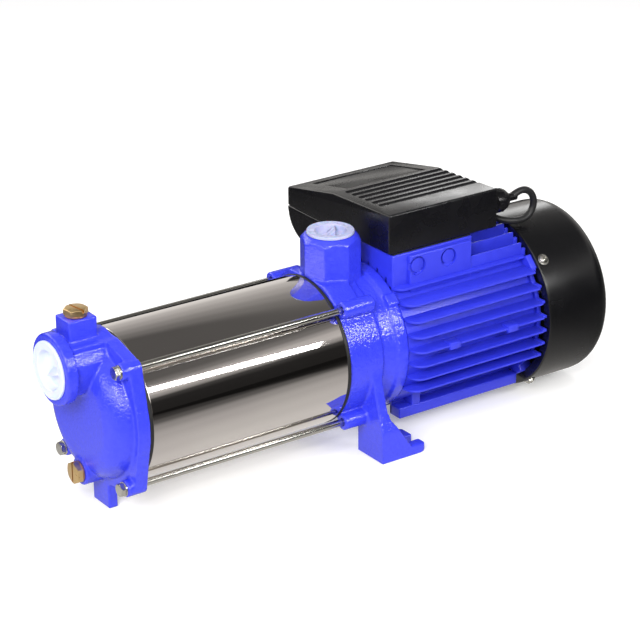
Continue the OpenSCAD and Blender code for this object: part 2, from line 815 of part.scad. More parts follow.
// Level fins on both sides and upright fins above, their front corners rounded
module fins() {
    root = tube_r - 12;
    upright = rail_y + step_w - 3;
    intersection() {
        union() {
            for (side = [-1, 1], i = [-3:3])
                translate([motor_x, side < 0 ? -fin_r : root / 2, shaft_h + 5 + i * fin_pitch - fin_t / 2])
                    cube([motor_len, fin_r - root / 2, fin_t]);
            for (side = [-1, 1])
                translate([motor_x, side < 0 ? -pad_half - 8 : 30, shaft_h + 51 - fin_t / 2])
                    cube([motor_len, pad_half - 22, fin_t]);
            for (side = [-1, 1], y = [5, 5 + fin_pitch, 5 + 2 * fin_pitch, upright])
                translate([motor_x, side * y - fin_t / 2, shaft_h + root / 2])
                    cube([motor_len, fin_t, fin_r]);
        }
        union() {
            along(motor_x + fin_round) cylinder(r = fin_r, h = motor_len - fin_round);
            ahead(motor_x + fin_round) dome(fin_r, fin_round, fin_round);
        }
    }
    for (side = [-1, 1], y = [5, 5 + fin_pitch])
        translate([motor_x, side * y - fin_t / 2, shaft_h - rail_z + 4])
            cube([motor_len, fin_t, rail_z - root]);
}

// Two rails under the motor, each a ledge that hangs on a wall and a front rib
module rails() {
    front = motor_x + 7;
    ledge = 9.5;
    width = 14;
    drop = rail_z - 0.7 * tube_r;
    for (side = [-1, 1]) mirror([0, side > 0 ? 0 : 1, 0]) {
        translate([front, rail_y - width, shaft_h - rail_z])
            cube([motor_end - front, width, ledge]);
        translate([front + 13, rail_y - width, shaft_h - rail_z]) cube([9, width, drop]);
        translate([front, rail_y - width, shaft_h - rail_z])
            cube([motor_end - front, 3, drop]);
    }
}

// Small cast blocks on the middle fin of each side
module fin_blocks() {
    z = 5;
    tip = sqrt(pow(fin_r, 2) - pow(z, 2));
    for (side = [-1, 1], x = [motor_x + 0.24 * motor_len, motor_x + 0.7 * motor_len])
        translate([x, side < 0 ? -tip - 1 : tip - 9, shaft_h + z - 3.5])
            cube([11, 10, 6]);
}

// The pad is a frame round a window for the windings' leads
module pad_window() {
    wall = 6;
    translate([motor_x + wall, -pad_half + wall, shaft_h + tube_r])
        cube([pad_len - 2 * wall, 2 * (pad_half - wall), pad_z]);
    translate([lead_x, 0, shaft_h]) cylinder(r = lead_r, h = pad_z);
}

module stator_core() {
    color("gray") along(stator_x) difference() {
        tube(stator_r, stator_bore_r, stator_l);
        for (i = [0:slots - 1]) rotate([0, 0, i * 360 / slots])
            translate([stator_bore_r + 2, -1.9, -1]) cube([13, 3.8, stator_l + 2]);
    }
}

module stator_windings() {
    color("peru") along(stator_x) {
        for (i = [0:slots - 1]) rotate([0, 0, i * 360 / slots])
            translate([stator_bore_r + 2.2, -1.7, -2]) cube([12.6, 3.4, stator_l + 4]);
        for (z = [-winding_l, stator_l + 1]) translate([0, 0, z]) rotate_extrude() {
            translate([stator_bore_r + 3, 3]) square([13, winding_l - 5]);
            translate([stator_bore_r + 5, 0]) square([9, winding_l - 1]);
        }
    }
}

module rotor_core() {
    r = stator_bore_r - air_gap;
    color("silver") along(stator_x) {
        tube(r, core_shaft_r, stator_l);
        for (z = [-6, stator_l]) translate([0, 0, z]) tube(r - 3, r - 12, 6);
        for (z = [-11, stator_l + 5], a = [0:40:320]) rotate([0, 0, a])
            translate([r - 10, -1, z]) cube([6, 2, 6]);
    }
}

module rear_end_shield() {
    color("mediumblue") difference() {
        union() {
            along(motor_end) cylinder(r = tube_r, h = shield_t);
            at_cover() along(motor_end) cylinder(r = cover_r - cover_t - 0.8, h = shield_t);
            along(motor_end - 6) cylinder(r = stator_r - 0.2, h = 7);
            along(rear_bearing_x - 3) cylinder(r = bearing_r[1] + 6, h = bearing_r[2] + 4);
            cover_lugs();
        }
        along(motor_end - 7) tube(stator_r - 5, bearing_r[1] + 6, 7);
        along(rear_bearing_x - 5) cylinder(r = bearing_r[1], h = bearing_r[2] + 5);
        along(rear_bearing_x) cylinder(r = fan_shaft_r + 1, h = 60);
        bolt_places(motor_end - 10, 30, bolt_r + screw_gap / 2);
        lug_places() translate([screw_x, 0, shaft_h + tube_r - 4]) cylinder(r = 1.6, h = 30);
    }
}

// Puts what belongs to the fan cover on the cover's own middle line
module at_cover() {
    translate([0, 0, -cover_drop]) children();
}

module lug_places() {
    at_cover() for (a = lug_turns) rotate_about_shaft(a) children();
}

// Four lugs on which the fan cover is screwed
module cover_lugs() {
    intersection() {
        lug_places() translate([motor_end, -lug_w / 2, shaft_h + tube_r - 6]) cube([lug_len, lug_w, 30]);
        at_cover() along(motor_end) cylinder(r = cover_r - cover_t, h = lug_len);
    }
}

module motor_bolts() {
    head = 3;
    color("silver") {
        bolt_places(motor_x - bolt_grip, shield_end - motor_x + bolt_grip, bolt_r);
        for (a = [0:90:270]) rotate_about_shaft(a + bolt_turn)
            translate([0, 0, bolt_ring_r]) along(shield_end) hexagon(6, head);
    }
}

module fan_cover() {
    color([0.06, 0.06, 0.07]) at_cover() difference() {
        union() {
            along(hood_x) cylinder(r = cover_r, h = cover_len - cover_round);
            along(hood_end - cover_round) dome(cover_r, cover_round, cover_round);
        }
        along(hood_x - 1) cylinder(r = cover_r - cover_t, h = cover_len - cover_round + 1);
        along(hood_end - cover_round)
            dome(cover_r - cover_t, cover_round - cover_t, cover_round - cover_t);
        grille();
        for (a = lug_turns) rotate_about_shaft(a)
            translate([screw_x, 0, shaft_h + tube_r]) cylinder(r = 2.2, h = 30);
    }
}

// Ring after ring of short arc slots in the cover's rear face
module grille() {
    for (r = [14:7.5:52]) for (a = [0:45:315]) rotate_about_shaft(a)
        along(hood_end - cover_t - 1) rotate([0, 0, 4])
            rotate_extrude(angle = 37) translate([r, 0]) square([4, cover_t + 2]);
}

module fan_cover_screws() {
    color("silver") lug_places()
        translate([screw_x, 0, shaft_h]) {
            translate([0, 0, tube_r - 2]) cylinder(r = 1.6, h = cover_r - tube_r + 3);
            translate([0, 0, cover_r]) cylinder(r = 5, h = 0.8);
            translate([0, 0, cover_r + 0.5]) cylinder(r1 = 3.8, r2 = 2.6, h = 2.4);
        }
}

module cooling_fan() {
    color([0.1, 0.1, 0.1]) along(fan_x) {
        tube(14, fan_shaft_r, fan_w - 6);
        translate([0, 0, 2]) tube(26, 12, 2);
        for (i = [0:fan_blades - 1]) rotate([0, 0, i * 360 / fan_blades])
            translate([12.5, -1, 2]) cube([fan_r - 12.5, 2, fan_w - 2]);
    }
}

module fan_clip() {
    color("silver") along(fan_x + fan_w - 6) tube(fan_shaft_r + 2.5, fan_shaft_r, 1.2);
}

// Cross-section of the box seen from the suction end, grown inwards by w
module box_section(w) {
    intersection() {
        offset_box(w);
        translate([-box_near + w, box_bottom - 40]) square([200, 200]);
    }
}

module offset_box(w) {
    top = box_top - w;
    polygon([
        [-box_near + w, box_bottom], [-box_near + w, top - 2], [-box_near + w + 1.5, top],
        [break_y, top - break_drop], [box_far - w - 3, top - far_drop + 1],
        [box_far - w, top - far_drop - 2.5], [box_far - w, box_bottom]
    ]);
}

module box_slab(x, h) {
    translate([x, 0, shaft_h]) rotate([90, 0, 90]) linear_extrude(h) children();
}

module terminal_box_cover() {
    color([0.1, 0.1, 0.11]) difference() {
        box_slab(box_x, box_len) box_section(0);
        box_slab(box_x + box_t, box_len - 2 * box_t) box_section(box_t);
        box_slab(box_x + box_t, box_len - 2 * box_t) translate([-box_near + box_t, box_bottom - 1])
            square([box_far + box_near - 2 * box_t, 3]);
        lid_grooves();
        label_recess();
        translate([gland_x - 5, gland_y, shaft_h + gland_z]) rotate([0, 90, 0])
            cylinder(r = 6.2, h = 10);
        lid_screw_places() translate([0, 0, -box_t - 1]) cylinder(r = 1.8, h = 10);
    }
}

// Parallel grooves along the lid's level part
module lid_grooves() {
    pitch = 9.3;
    for (i = [0:grooves - 1]) {
        y = break_y - 7 - i * pitch;
        z = box_top - (y + box_near) * tan(near_slope);
        translate([box_x + 9, y, shaft_h + z - 1]) cube([box_len, 2.4, 3]);
    }
}

// Shallow bare recess on the lid's far slope
module label_recess() {
    translate([box_x + 17, break_y + 3, shaft_h + box_top - break_drop])
        rotate([-far_slope, 0, 0]) translate([0, 0, -1.6]) cube([box_len, 56, 4]);
}

module terminal_box_base() {
    color([0.1, 0.1, 0.11]) difference() {
        union() {
            difference() {
                union() {
                    base_plate();
                    box_slab(box_x, box_len) trough(bulge_r);
                }
                box_slab(box_x + box_t, box_len - 2 * box_t) trough(bulge_r - box_t);
            }
            capacitor_saddles();
            lid_posts();
        }
        lid_screw_places() translate([0, 0, -12]) cylinder(r = 1.5, h = 14);
        translate([lead_x, 0, shaft_h]) cylinder(r = lead_r, h = box_top);
    }
}

// Half a disc that hangs under the box's floor
module trough(r) {
    difference() {
        translate([bulge_y, box_bottom]) circle(r);
        translate([0, box_bottom]) square([200, 60]);
    }
}

module base_plate() {
    width = bulge_y - bulge_r + box_near + 2;
    box_slab(box_x + box_t + 0.2, box_len - 2 * box_t - 0.4)
        translate([-box_near + box_t + 0.2, box_bottom]) square([width, 2.2]);
}

// Posts at the trough's two ends, for the screws of the cover
module lid_posts() {
    post = [7.6, 8, 19];
    for (x = [box_x + box_t + 0.2, box_end - box_t - post[0] - 0.2])
        translate([x, box_far - box_t - post[1] - 0.2, shaft_h + box_bottom - 8]) cube(post);
}

// Two ribs across the trough, which the capacitor lies on
module capacitor_saddles() {
    for (x = [box_x + 25, box_end - 28]) box_slab(x, 3) difference() {
        trough(bulge_r - 1);
        translate([bulge_y, capacitor_z]) circle(capacitor_r);
    }
}

module terminal_box_gasket() {
    color([0.04, 0.04, 0.04]) translate([motor_x + 1, -pad_half + 1, shaft_h + pad_z])
        difference() {
            cube([pad_len - 2, 2 * pad_half - 2, gasket_t]);
            translate([5, 5, -1]) cube([pad_len - 12, 2 * pad_half - 12, gasket_t + 2]);
        }
}

// Places of the two screws that hold the cover to posts of the base, seen from the far side
module lid_screw_places() {
    for (x = [box_x + box_t + 5, box_end - box_t - 5])
        translate([x, box_far, shaft_h + box_bottom + 6]) rotate([-90, 0, 0]) children();
}

module terminal_box_screws() {
    color("silver") lid_screw_places() {
        cylinder(r1 = 3.6, r2 = 2.4, h = 2);
        translate([0, 0, -9]) cylinder(r = 1.5, h = 10);
    }
}

module capacitor() {
    x = (box_x + box_end - capacitor_l) / 2;
    color("whitesmoke") translate([x, bulge_y, shaft_h + capacitor_z])
        rotate([0, 90, 0]) {
            cylinder(r = capacitor_r, h = capacitor_l);
            for (y = [-6, 6]) translate([-3, y, capacitor_l]) cylinder(r = 1.5, h = 6);
        }
}

module terminal_block() {
    color("dimgray") translate([box_end - 48, -26, shaft_h + box_bottom + 2.2]) difference() {
        union() {
            cube([34, 20, 8]);
            for (i = [0:3]) translate([i * 10.6, 0, 0]) cube([2, 20, 13]);
        }
        for (i = [0:2]) translate([7 + i * 10.6, 10, 3]) cylinder(r = 1.6, h = 20);
    }
}

module terminal_screws() {
    color("gold") for (i = [0:2])
        translate([box_end - 41 + i * 10.6, -16, shaft_h + box_bottom + 10.2]) {
            cylinder(r = 3, h = 2);
            translate([0, 0, -4]) cylinder(r = 1.5, h = 5);
        }
}

module cable_gland() {
    color([0.08, 0.08, 0.08]) translate([gland_x, gland_y, shaft_h + gland_z])
        rotate([0, 90, 0]) difference() {
            union() {
                translate([0, 0, -4]) cylinder(r = 6, h = 6);
                hexagon(2 * gland_r - 1, 5);
                cylinder(r = 7.2, h = 12);
            }
            translate([0, 0, -5]) cylinder(r = cable_d / 2 + 0.5, h = 30);
        }
}

module gland_nut() {
    color([0.07, 0.07, 0.07]) translate([gland_x + 5.4, gland_y, shaft_h + gland_z])
        rotate([0, 90, 0]) difference() {
            union() {
                cylinder(r = gland_r, h = 8);
                translate([0, 0, 8]) cylinder(r1 = gland_r, r2 = 6, h = gland_l - 13.4);
            }
            translate([0, 0, -1]) cylinder(r = 7.5, h = 9);
            cylinder(r = cable_d / 2 - 0.5, h = 40);
        }
}

// Centripetal-like smoothing of the route: a cubic through four neighbours
function cubic(a, b, c, d, t) = 0.5 * (
    2 * b + (c - a) * t + (2 * a - 5 * b + 4 * c - d) * t * t
    + (3 * b - a - 3 * c + d) * t * t * t
);
function at(route, i) = route[max(0, min(len(route) - 1, i))];
function smooth(route, n) = concat(
    [for (i = [0:len(route) - 2], k = [0:n - 1])
        cubic(at(route, i - 1), route[i], route[i + 1], at(route, i + 2), k / n)],
    [route[len(route) - 1]]
);
function unit(v) = v / norm(v);
function heading(p, i) = unit(at(p, i + 1) - at(p, i - 1));
function side_of(t) = unit(cross(t, abs(t[1]) < 0.9 ? [0, 1, 0] : [1, 0, 0]));
// Carries the side direction along the route, so the tube doesn't twist
function carried(p, i, s) = let (t = heading(p, i), u = unit(s - (s * t) * t))
    i >= len(p) - 1 ? [u] : concat([u], carried(p, i + 1, u));

module swept_tube(route, r, n) {
    sides = 8;
    p = smooth(route, n);
    u = carried(p, 0, side_of(heading(p, 0)));
    rings = [for (i = [0:len(p) - 1]) let (t = heading(p, i), v = cross(t, u[i]))
        for (k = [0:sides - 1]) let (a = 360 * k / sides)
            p[i] + r * (cos(a) * u[i] + sin(a) * v)];
    last = len(p) - 1;
    walls = [for (i = [0:last - 1], k = [0:sides - 1]) let (m = (k + 1) % sides)
        [i * sides + k, (i + 1) * sides + k, (i + 1) * sides + m, i * sides + m]];
    polyhedron(rings, concat(
        [[for (k = [0:sides - 1]) k]], [[for (k = [sides - 1:-1:0]) last * sides + k]], walls
    ));
}

module power_cord() {
    color([0.03, 0.03, 0.03]) swept_tube(cable_route, cable_d / 2, cable_step);
}

module cord_tail() {
    color([0.03, 0.03, 0.03]) swept_tube(tail_route, cable_d / 2, cable_step);
}

module cord_coil() {
    color([0.03, 0.03, 0.03]) translate([coil_x, coil_y, 0.05]) rotate_extrude()
        translate([coil_r - coil_half, 0]) square([2 * coil_half, coil_h]);
}

// Two-pin earthed plug lying on its side
module mains_plug() {
    color([0.06, 0.06, 0.06]) translate([plug_x, plug_y, plug_r]) rotate([0, -90, 0]) {
        cylinder(r1 = 5, r2 = 8, h = 22);
        translate([0, 0, 21.9]) cylinder(r1 = 13, r2 = plug_r, h = 14);
        translate([0, 0, 35.8]) cylinder(r = plug_r, h = plug_l - 36);
        for (y = [-9.5, 9.5]) translate([0, y, plug_l - 1]) {
            cylinder(r = 2.4, h = 18);
            translate([0, 0, 18]) cylinder(r1 = 2.4, r2 = 1.4, h = 2);
        }
    }
}

// A brass plug along Z, its head's seat at z = 0
module brass_plug() {
    difference() {
        union() {
            hexagon(plug_af, plug_head_h);
            translate([0, 0, -plug_shank_l]) cylinder(r = plug_shank_r, h = plug_shank_l + 1);
        }
        translate([-plug_af, -slot_w / 2, plug_head_h - 2.2]) cube([2 * plug_af, slot_w, 3]);
    }
}

module sealing_washer() {
    tube(plug_shank_r + 2.4, plug_shank_r + 0.1, plug_washer_t);
}

module priming_plug() {
    color("goldenrod")
        translate([cover_x - priming_x, 0, shaft_h + priming_z + plug_washer_t + seal_face_gap])
            rotate([0, 0, 100]) brass_plug();
}

module priming_plug_washer() {
    color("peru") translate([cover_x - priming_x, 0, shaft_h + priming_z + seal_face_gap / 2])
        sealing_washer();
}

module drain_plug() {
    color("goldenrod") translate([-plug_washer_t - seal_face_gap, 0, -drain_z]) ahead(drain_x)
        rotate([0, 0, 25]) brass_plug();
}

module drain_plug_washer() {
    color("peru") translate([-seal_face_gap / 2, 0, -drain_z]) ahead(drain_x) sealing_washer();
}

// A push-in transport plug: flange, skirt and a raised grip
module port_plug(thread_r, flange_r) {
    skirt_r = thread_r + thread_lead - port_plug_gap;
    difference() {
        union() {
            cylinder(r = flange_r, h = port_plug_t);
            translate([0, 0, 0.3 - counterbore_l])
                cylinder(r = skirt_r, h = counterbore_l);
        }
        translate([0, 0, 0.3 - counterbore_l - 1]) cylinder(r = skirt_r - 2, h = counterbore_l);
        translate([0, 0, port_plug_t - 1.2]) cylinder(r = flange_r - 4.5, h = 3);
    }
    translate([0, 0, port_plug_t - 1.3]) intersection() {
        cylinder(r = flange_r - 4.4, h = 1.8);
        translate([-1.5, -flange_r, 0]) cube([3, 2 * flange_r, 2]);
    }
}

module suction_port_plug() {
    color("white") translate([-seal_face_gap, 0, suction_z]) ahead(suction_x)
        port_plug(suction_thread_r, suction_thread_r + 4);
}

module discharge_port_plug() {
    color("lavender") translate([discharge_x, 0, shaft_h + discharge_z + seal_face_gap])
        port_plug(discharge_thread_r, discharge_thread_r + 4.6);
}

suction_casing();
front_sleeve_seal();
stainless_sleeve();
rear_sleeve_seal();
tie_rods();
tie_rod_washers();
discharge_casing();
inlet_plate();
for (i = [1:stages]) stage_bowl(i);
shaft_seal_seat();
front_bearing_outer_ring();
rear_bearing_outer_ring();
motor_housing();
stator_core();
stator_windings();
rear_end_shield();
motor_bolts();
fan_cover();
fan_cover_screws();
terminal_box_gasket();
terminal_box_base();
terminal_box_cover();
terminal_box_screws();
capacitor();
terminal_block();
terminal_screws();
cable_gland();
gland_nut();
power_cord();
cord_coil();
cord_tail();
mains_plug();
priming_plug();
priming_plug_washer();
drain_plug();
drain_plug_washer();
suction_port_plug();
discharge_port_plug();
shaft();
for (i = [1:stages]) impeller(i);
impeller_spacers();
impeller_nut();
shaft_seal_head();
rotor_core();
front_bearing_inner_ring();
rear_bearing_inner_ring();
front_bearing_balls();
rear_bearing_balls();
cooling_fan();
fan_clip();
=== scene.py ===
"""Looks of a horizontal multistage centrifugal pump, modelled over its measured frame.

The frame gives every node's place and size. Each sub-assembly below is a class that holds its
sizes in millimetres, models its visible pieces and dresses them. X runs along the shaft from the
suction end to the fan, Y to the far side and Z up, and the shaft's height comes from the frame.
"""

import json
import logging
import math
from dataclasses import dataclass
from enum import Enum
from typing import Iterable, Sequence

import bpy
from mathutils import Matrix, Vector


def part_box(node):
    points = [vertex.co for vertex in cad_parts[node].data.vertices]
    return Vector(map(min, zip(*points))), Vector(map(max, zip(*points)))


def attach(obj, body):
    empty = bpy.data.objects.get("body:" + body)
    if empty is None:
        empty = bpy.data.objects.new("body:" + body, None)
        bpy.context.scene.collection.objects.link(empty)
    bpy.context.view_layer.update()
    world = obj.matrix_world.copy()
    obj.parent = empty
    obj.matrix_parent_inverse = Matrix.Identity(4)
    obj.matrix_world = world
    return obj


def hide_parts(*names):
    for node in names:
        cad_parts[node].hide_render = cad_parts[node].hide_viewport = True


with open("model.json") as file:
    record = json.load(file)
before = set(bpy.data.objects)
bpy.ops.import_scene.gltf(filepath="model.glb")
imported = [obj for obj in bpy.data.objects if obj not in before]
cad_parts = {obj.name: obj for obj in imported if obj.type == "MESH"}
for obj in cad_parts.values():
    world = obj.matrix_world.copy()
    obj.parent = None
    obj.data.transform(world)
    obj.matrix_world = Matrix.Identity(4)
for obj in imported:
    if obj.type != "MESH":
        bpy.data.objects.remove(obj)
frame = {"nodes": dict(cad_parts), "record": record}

logging.basicConfig(level=logging.INFO, format="%(name)s: %(message)s")
log = logging.getLogger("pump")

Obj = bpy.types.Object
Node = bpy.types.Node
Source = tuple[Node, str | int]
Pair = tuple[float, float]
Triple = tuple[float, float, float]
Corners = Sequence[tuple[float, ...]]

MM = 0.001
WELD = 1e-6
NODES: dict[str, Obj] = frame["nodes"]


def node_box(name: str) -> tuple[Vector, Vector]:
    """Returns a node's lowest and highest corner, in millimetres."""
    low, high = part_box(name)
    return low / MM, high / MM


SHAFT_Z = sum(v.z for v in node_box("stainless_sleeve")) / 2
HOOD_DROP = 3.0
HOOD_SCREWS = (-146, -47, 47, 146)
FIN_LEVELS = [5.0 + 12.3 * i for i in range(-3, 4)]
UPRIGHTS = FIN_LEVELS[3:6]
OUTER_UPRIGHT = 40.5
PORT_PITCH = 2.309
PORT_DEPTH = 21.0
COIL_CENTRE = (97.0, 127.0)
PLUG_PLACE = (60.0, 165.0, 18.5)


def shift(x: float = 0.0, y: float = 0.0, z: float = 0.0) -> Matrix:
    """Returns the matrix of a move in millimetres."""
    return Matrix.Translation((x * MM, y * MM, z * MM))


def about(axis: str, degrees: float) -> Matrix:
    """Returns the matrix of a turn about an axis."""
    return Matrix.Rotation(math.radians(degrees), 4, axis)


def round_shaft(degrees: float) -> Matrix:
    """Returns the matrix that turns a piece modelled round X about the shaft's line."""
    return shift(z=SHAFT_Z) @ about("X", degrees)


class Run(Enum):
    """Direction in which a turned or drawn piece runs from its start."""

    AFT = (0.0, 90.0, 0.0)
    FORE = (0.0, -90.0, 0.0)
    UP = (0.0, 0.0, 0.0)
    NEAR = (90.0, 0.0, 0.0)
    FAR = (-90.0, 0.0, 0.0)

    def turn(self) -> Matrix:
        """Returns the rotation from +Z to this direction."""
        x, y, z = self.value
        return about("Z", z) @ about("Y", y) @ about("X", x)


def placing(start: Sequence[float], run: Run, roll: float = 0.0) -> Matrix:
    """Returns the matrix that puts a piece modelled along Z at its place.

    Args:
        start: Where the piece's own zero goes, in millimetres.
        run: Direction that its Z takes.
        roll: Degrees it is first turned about its own Z.
    """
    return Matrix.Translation(Vector(start) * MM) @ run.turn() @ about("Z", roll)


def alone(obj: Obj) -> None:
    """Selects only this object and makes it active."""
    bpy.ops.object.select_all(action="DESELECT")
    obj.select_set(True)
    bpy.context.view_layer.objects.active = obj


def seat(obj: Obj, matrix: Matrix) -> Obj:
    """Moves an object's mesh to its place and leaves the object at the origin."""
    obj.matrix_world = matrix @ obj.matrix_world
    alone(obj)
    bpy.ops.object.transform_apply()
    return obj


def rounded(points: Corners, steps: int = 4) -> list[Pair]:
    """Rounds the corners of an open outline.

    Args:
        points: Corners as (a, b) or (a, b, fillet radius), in millimetres.
        steps: Straight stretches in each rounded corner.

    Returns:
        The outline's points, in millimetres.
    """
    out: list[Pair] = []
    for i, corner in enumerate(points):
        here = Vector(corner[:2])
        radius = corner[2] if len(corner) > 2 else 0.0
        if radius == 0.0 or i in (0, len(points) - 1):
            out.append((here.x, here.y))
            continue
        before = (Vector(points[i - 1][:2]) - here).normalized()
        after = (Vector(points[i + 1][:2]) - here).normalized()
        half = before.angle(after) / 2
        centre = here + (before + after).normalized() * (radius / math.sin(half))
        first = here + before * (radius / math.tan(half)) - centre
        last = here + after * (radius / math.tan(half)) - centre
        sweep = first.angle_signed(last)
        for k in range(steps + 1):
            arm = first.copy()
            arm.rotate(Matrix.Rotation(-sweep * k / steps, 2))
            out.append(tuple(centre + arm))
    return out


def closed(points: Corners, steps: int) -> list[Pair]:
    """Rounds the corners of a closed outline; its first corner stays sharp."""
    return rounded([*points, points[0]], steps)[:-1]


def wire(name: str, points: Sequence[Pair], plane: str) -> Obj:
    """Extrudes a point along an outline and leaves the line in edit mode, all selected.

    Args:
        name: Name of the new object.
        points: The outline in millimetres.
        plane: "XZ" for a profile to spin about Z, "XY" for an outline to draw along Z.
    """
    bpy.ops.mesh.primitive_plane_add(size=MM)
    obj = bpy.context.object
    obj.name = name
    flat = [Vector((a, 0, b) if plane == "XZ" else (a, b, 0)) * MM for a, b in points]
    bpy.ops.object.mode_set(mode="EDIT")
    bpy.ops.mesh.merge(type="CENTER")
    bpy.ops.transform.translate(value=flat[0])
    for a, b in zip(flat, flat[1:]):
        bpy.ops.mesh.extrude_region_move(TRANSFORM_OT_translate={"value": b - a})
    bpy.ops.mesh.select_all(action="SELECT")
    return obj


def weld() -> None:
    """Merges what lies together, turns all faces outwards and leaves edit mode."""
    bpy.ops.mesh.select_all(action="SELECT")
    bpy.ops.mesh.remove_doubles(threshold=WELD)
    bpy.ops.mesh.normals_make_consistent()
    bpy.ops.object.mode_set(mode="OBJECT")


def turned(name: str, profile: Sequence[Pair], steps: int = 96) -> Obj:
    """Spins a closed profile of (radius, height) about Z.

    Args:
        name: Name of the new object.
        profile: Points in millimetres, the last joining the first.
        steps: Stretches round the piece.
    """
    obj = wire(name, [*profile, profile[0]], "XZ")
    bpy.ops.mesh.remove_doubles(threshold=WELD)
    bpy.ops.mesh.spin(steps=steps, angle=math.tau, center=(0, 0, 0), axis=(0, 0, 1))
    weld()
    return obj


def drawn(name: str, outline: Sequence[Pair], depth: float) -> Obj:
    """Fills an outline in XY and extrudes it along Z by a depth in millimetres."""
    obj = wire(name, outline, "XY")
    bpy.ops.mesh.edge_face_add()
    bpy.ops.mesh.extrude_region_move(TRANSFORM_OT_translate={"value": (0, 0, depth * MM)})
    weld()
    return obj


def block(name: str, low: Sequence[float], high: Sequence[float]) -> Obj:
    """Adds a cuboid between two corners in millimetres, ready to be cut or bevelled."""
    a, b = Vector(low) * MM, Vector(high) * MM
    bpy.ops.mesh.primitive_cube_add(size=1, location=(a + b) / 2, scale=b - a)
    obj = bpy.context.object
    obj.name = name
    bpy.ops.object.transform_apply()
    return obj


def rod(name: str, radius: float, length: float, sides: int = 48) -> Obj:
    """Adds a bar along Z from its own zero, ready to be cut or bevelled, in millimetres."""
    bpy.ops.mesh.primitive_cylinder_add(
        vertices=sides, radius=radius * MM, depth=length * MM, location=(0, 0, length * MM / 2)
    )
    obj = bpy.context.object
    obj.name = name
    bpy.ops.object.transform_apply()
    return obj


def applied(obj: Obj, kind: str, **settings: object) -> Obj:
    """Adds a modifier with these settings and applies it."""
    alone(obj)
    mod = obj.modifiers.new(kind.title(), kind)
    for key, value in settings.items():
        setattr(mod, key, value)
    bpy.ops.object.modifier_apply(modifier=mod.name)
    return obj


def bevelled(obj: Obj, width: float, steps: int = 2, angle: float = 35.0) -> Obj:
    """Bevels every edge sharper than an angle in degrees, by a width in millimetres."""
    return applied(
        obj, "BEVEL", width=width * MM, segments=steps, limit_method="ANGLE",
        angle_limit=math.radians(angle), use_clamp_overlap=True,
    )


def brick(
    name: str, low: Sequence[float], high: Sequence[float], edge: float, steps: int = 2
) -> Obj:
    """Adds a cuboid between two corners with rounded edges, in millimetres."""
    return bevelled(block(name, low, high), edge, steps)


def combined(obj: Obj, tools: Iterable[Obj], how: str = "DIFFERENCE") -> Obj:
    """Cuts, adds or intersects other meshes with this one, and deletes them.

    Args:
        obj: The piece that is kept.
        tools: Closed meshes.
        how: DIFFERENCE, UNION or INTERSECT.
    """
    for tool in tools:
        applied(obj, "BOOLEAN", object=tool, operation=how, solver="EXACT")
        bpy.data.objects.remove(tool, do_unlink=True)
    return obj


def joined(name: str, parts: Sequence[Obj]) -> Obj:
    """Joins meshes into one object, their shells kept apart."""
    bpy.ops.object.select_all(action="DESELECT")
    for part in parts:
        part.select_set(True)
    bpy.context.view_layer.objects.active = parts[0]
    if len(parts) > 1:
        bpy.ops.object.join()
    parts[0].name = name
    return parts[0]


def threaded(name: str, radius: float, pitch: float, turns: int, depth: float) -> Obj:
    """Winds a thread's flank profile along Z.

    Args:
        name: Name of the new object.
        radius: Radius over the crests.
        pitch: Rise of one turn.
        turns: Number of turns.
        depth: Depth of the thread.
    """
    root = radius - depth
    profile = [(root, 0), (radius, 0.4 * pitch), (radius, 0.6 * pitch), (root, pitch)]
    obj = wire(name, profile, "XZ")
    bpy.ops.object.mode_set(mode="OBJECT")
    return applied(
        obj, "SCREW", angle=math.tau, screw_offset=pitch * MM, iterations=turns, steps=48,
        render_steps=48, axis="Z", use_merge_vertices=True, merge_threshold=WELD,
    )


class Kit:
    """Short way to add and join shader nodes in one tree."""

    def __init__(self, tree: bpy.types.NodeTree) -> None:
        """Keeps the tree and clears it."""
        self.tree = tree
        tree.nodes.clear()

    def add(self, kind: str, **settings: object) -> Node:
        """Adds a node; names of its properties set those, other names set its inputs."""
        node = self.tree.nodes.new("ShaderNode" + kind)
        for key, value in settings.items():
            if hasattr(node, key):
                setattr(node, key, value)
            else:
                node.inputs[key.replace("_", " ")].default_value = value
        return node

    def join(self, *links: tuple[Node, str | int, Node, str | int]) -> None:
        """Joins sockets; each link is a node, its output, the next node and its input."""
        for giver, out, taker, into in links:
            self.tree.links.new(giver.outputs[out], taker.inputs[into])

    def ease(self, source: Source, low: float, high: float, start: float = 0.0, end: float = 1.0) -> Source:
        """Adds a smooth step from one value to another while the source goes from low to high."""
        step = self.add(
            "MapRange", interpolation_type="SMOOTHSTEP", From_Min=low, From_Max=high, To_Min=start, To_Max=end
        )
        self.join((*source, step, "Value"))
        return step, "Result"

    def blend(self, factor: Source, low: Source | Triple, high: Source | Triple) -> Source:
        """Adds a mix of two colours, each either fixed or taken from a node's output."""
        mix = self.add("Mix", data_type="RGBA")
        self.join((*factor, mix, "Factor"))
        for socket, source in ((6, low), (7, high)):
            if len(source) == 3:
                mix.inputs[socket].default_value = (*source, 1)
            else:
                self.join((*source, mix, socket))
        return mix, 2


def new_group(name: str, inputs: dict[str, float | None], outputs: Sequence[str]) -> tuple:
    """Makes an empty shader group with named sockets.

    Args:
        name: Name of the group.
        inputs: Socket name to its default, None for a vector.
        outputs: Socket names.

    Returns:
        The group, its kit, its input node and its output node.
    """
    group = bpy.data.node_groups.new(name, "ShaderNodeTree")
    for label, value in inputs.items():
        kind = "NodeSocketVector" if value is None else "NodeSocketFloat"
        socket = group.interface.new_socket(label, in_out="INPUT", socket_type=kind)
        if value is not None:
            socket.default_value = value
    for label in outputs:
        group.interface.new_socket(label, in_out="OUTPUT", socket_type="NodeSocketFloat")
    return group, Kit(group), *(group.nodes.new("NodeGroup" + end) for end in ("Input", "Output"))


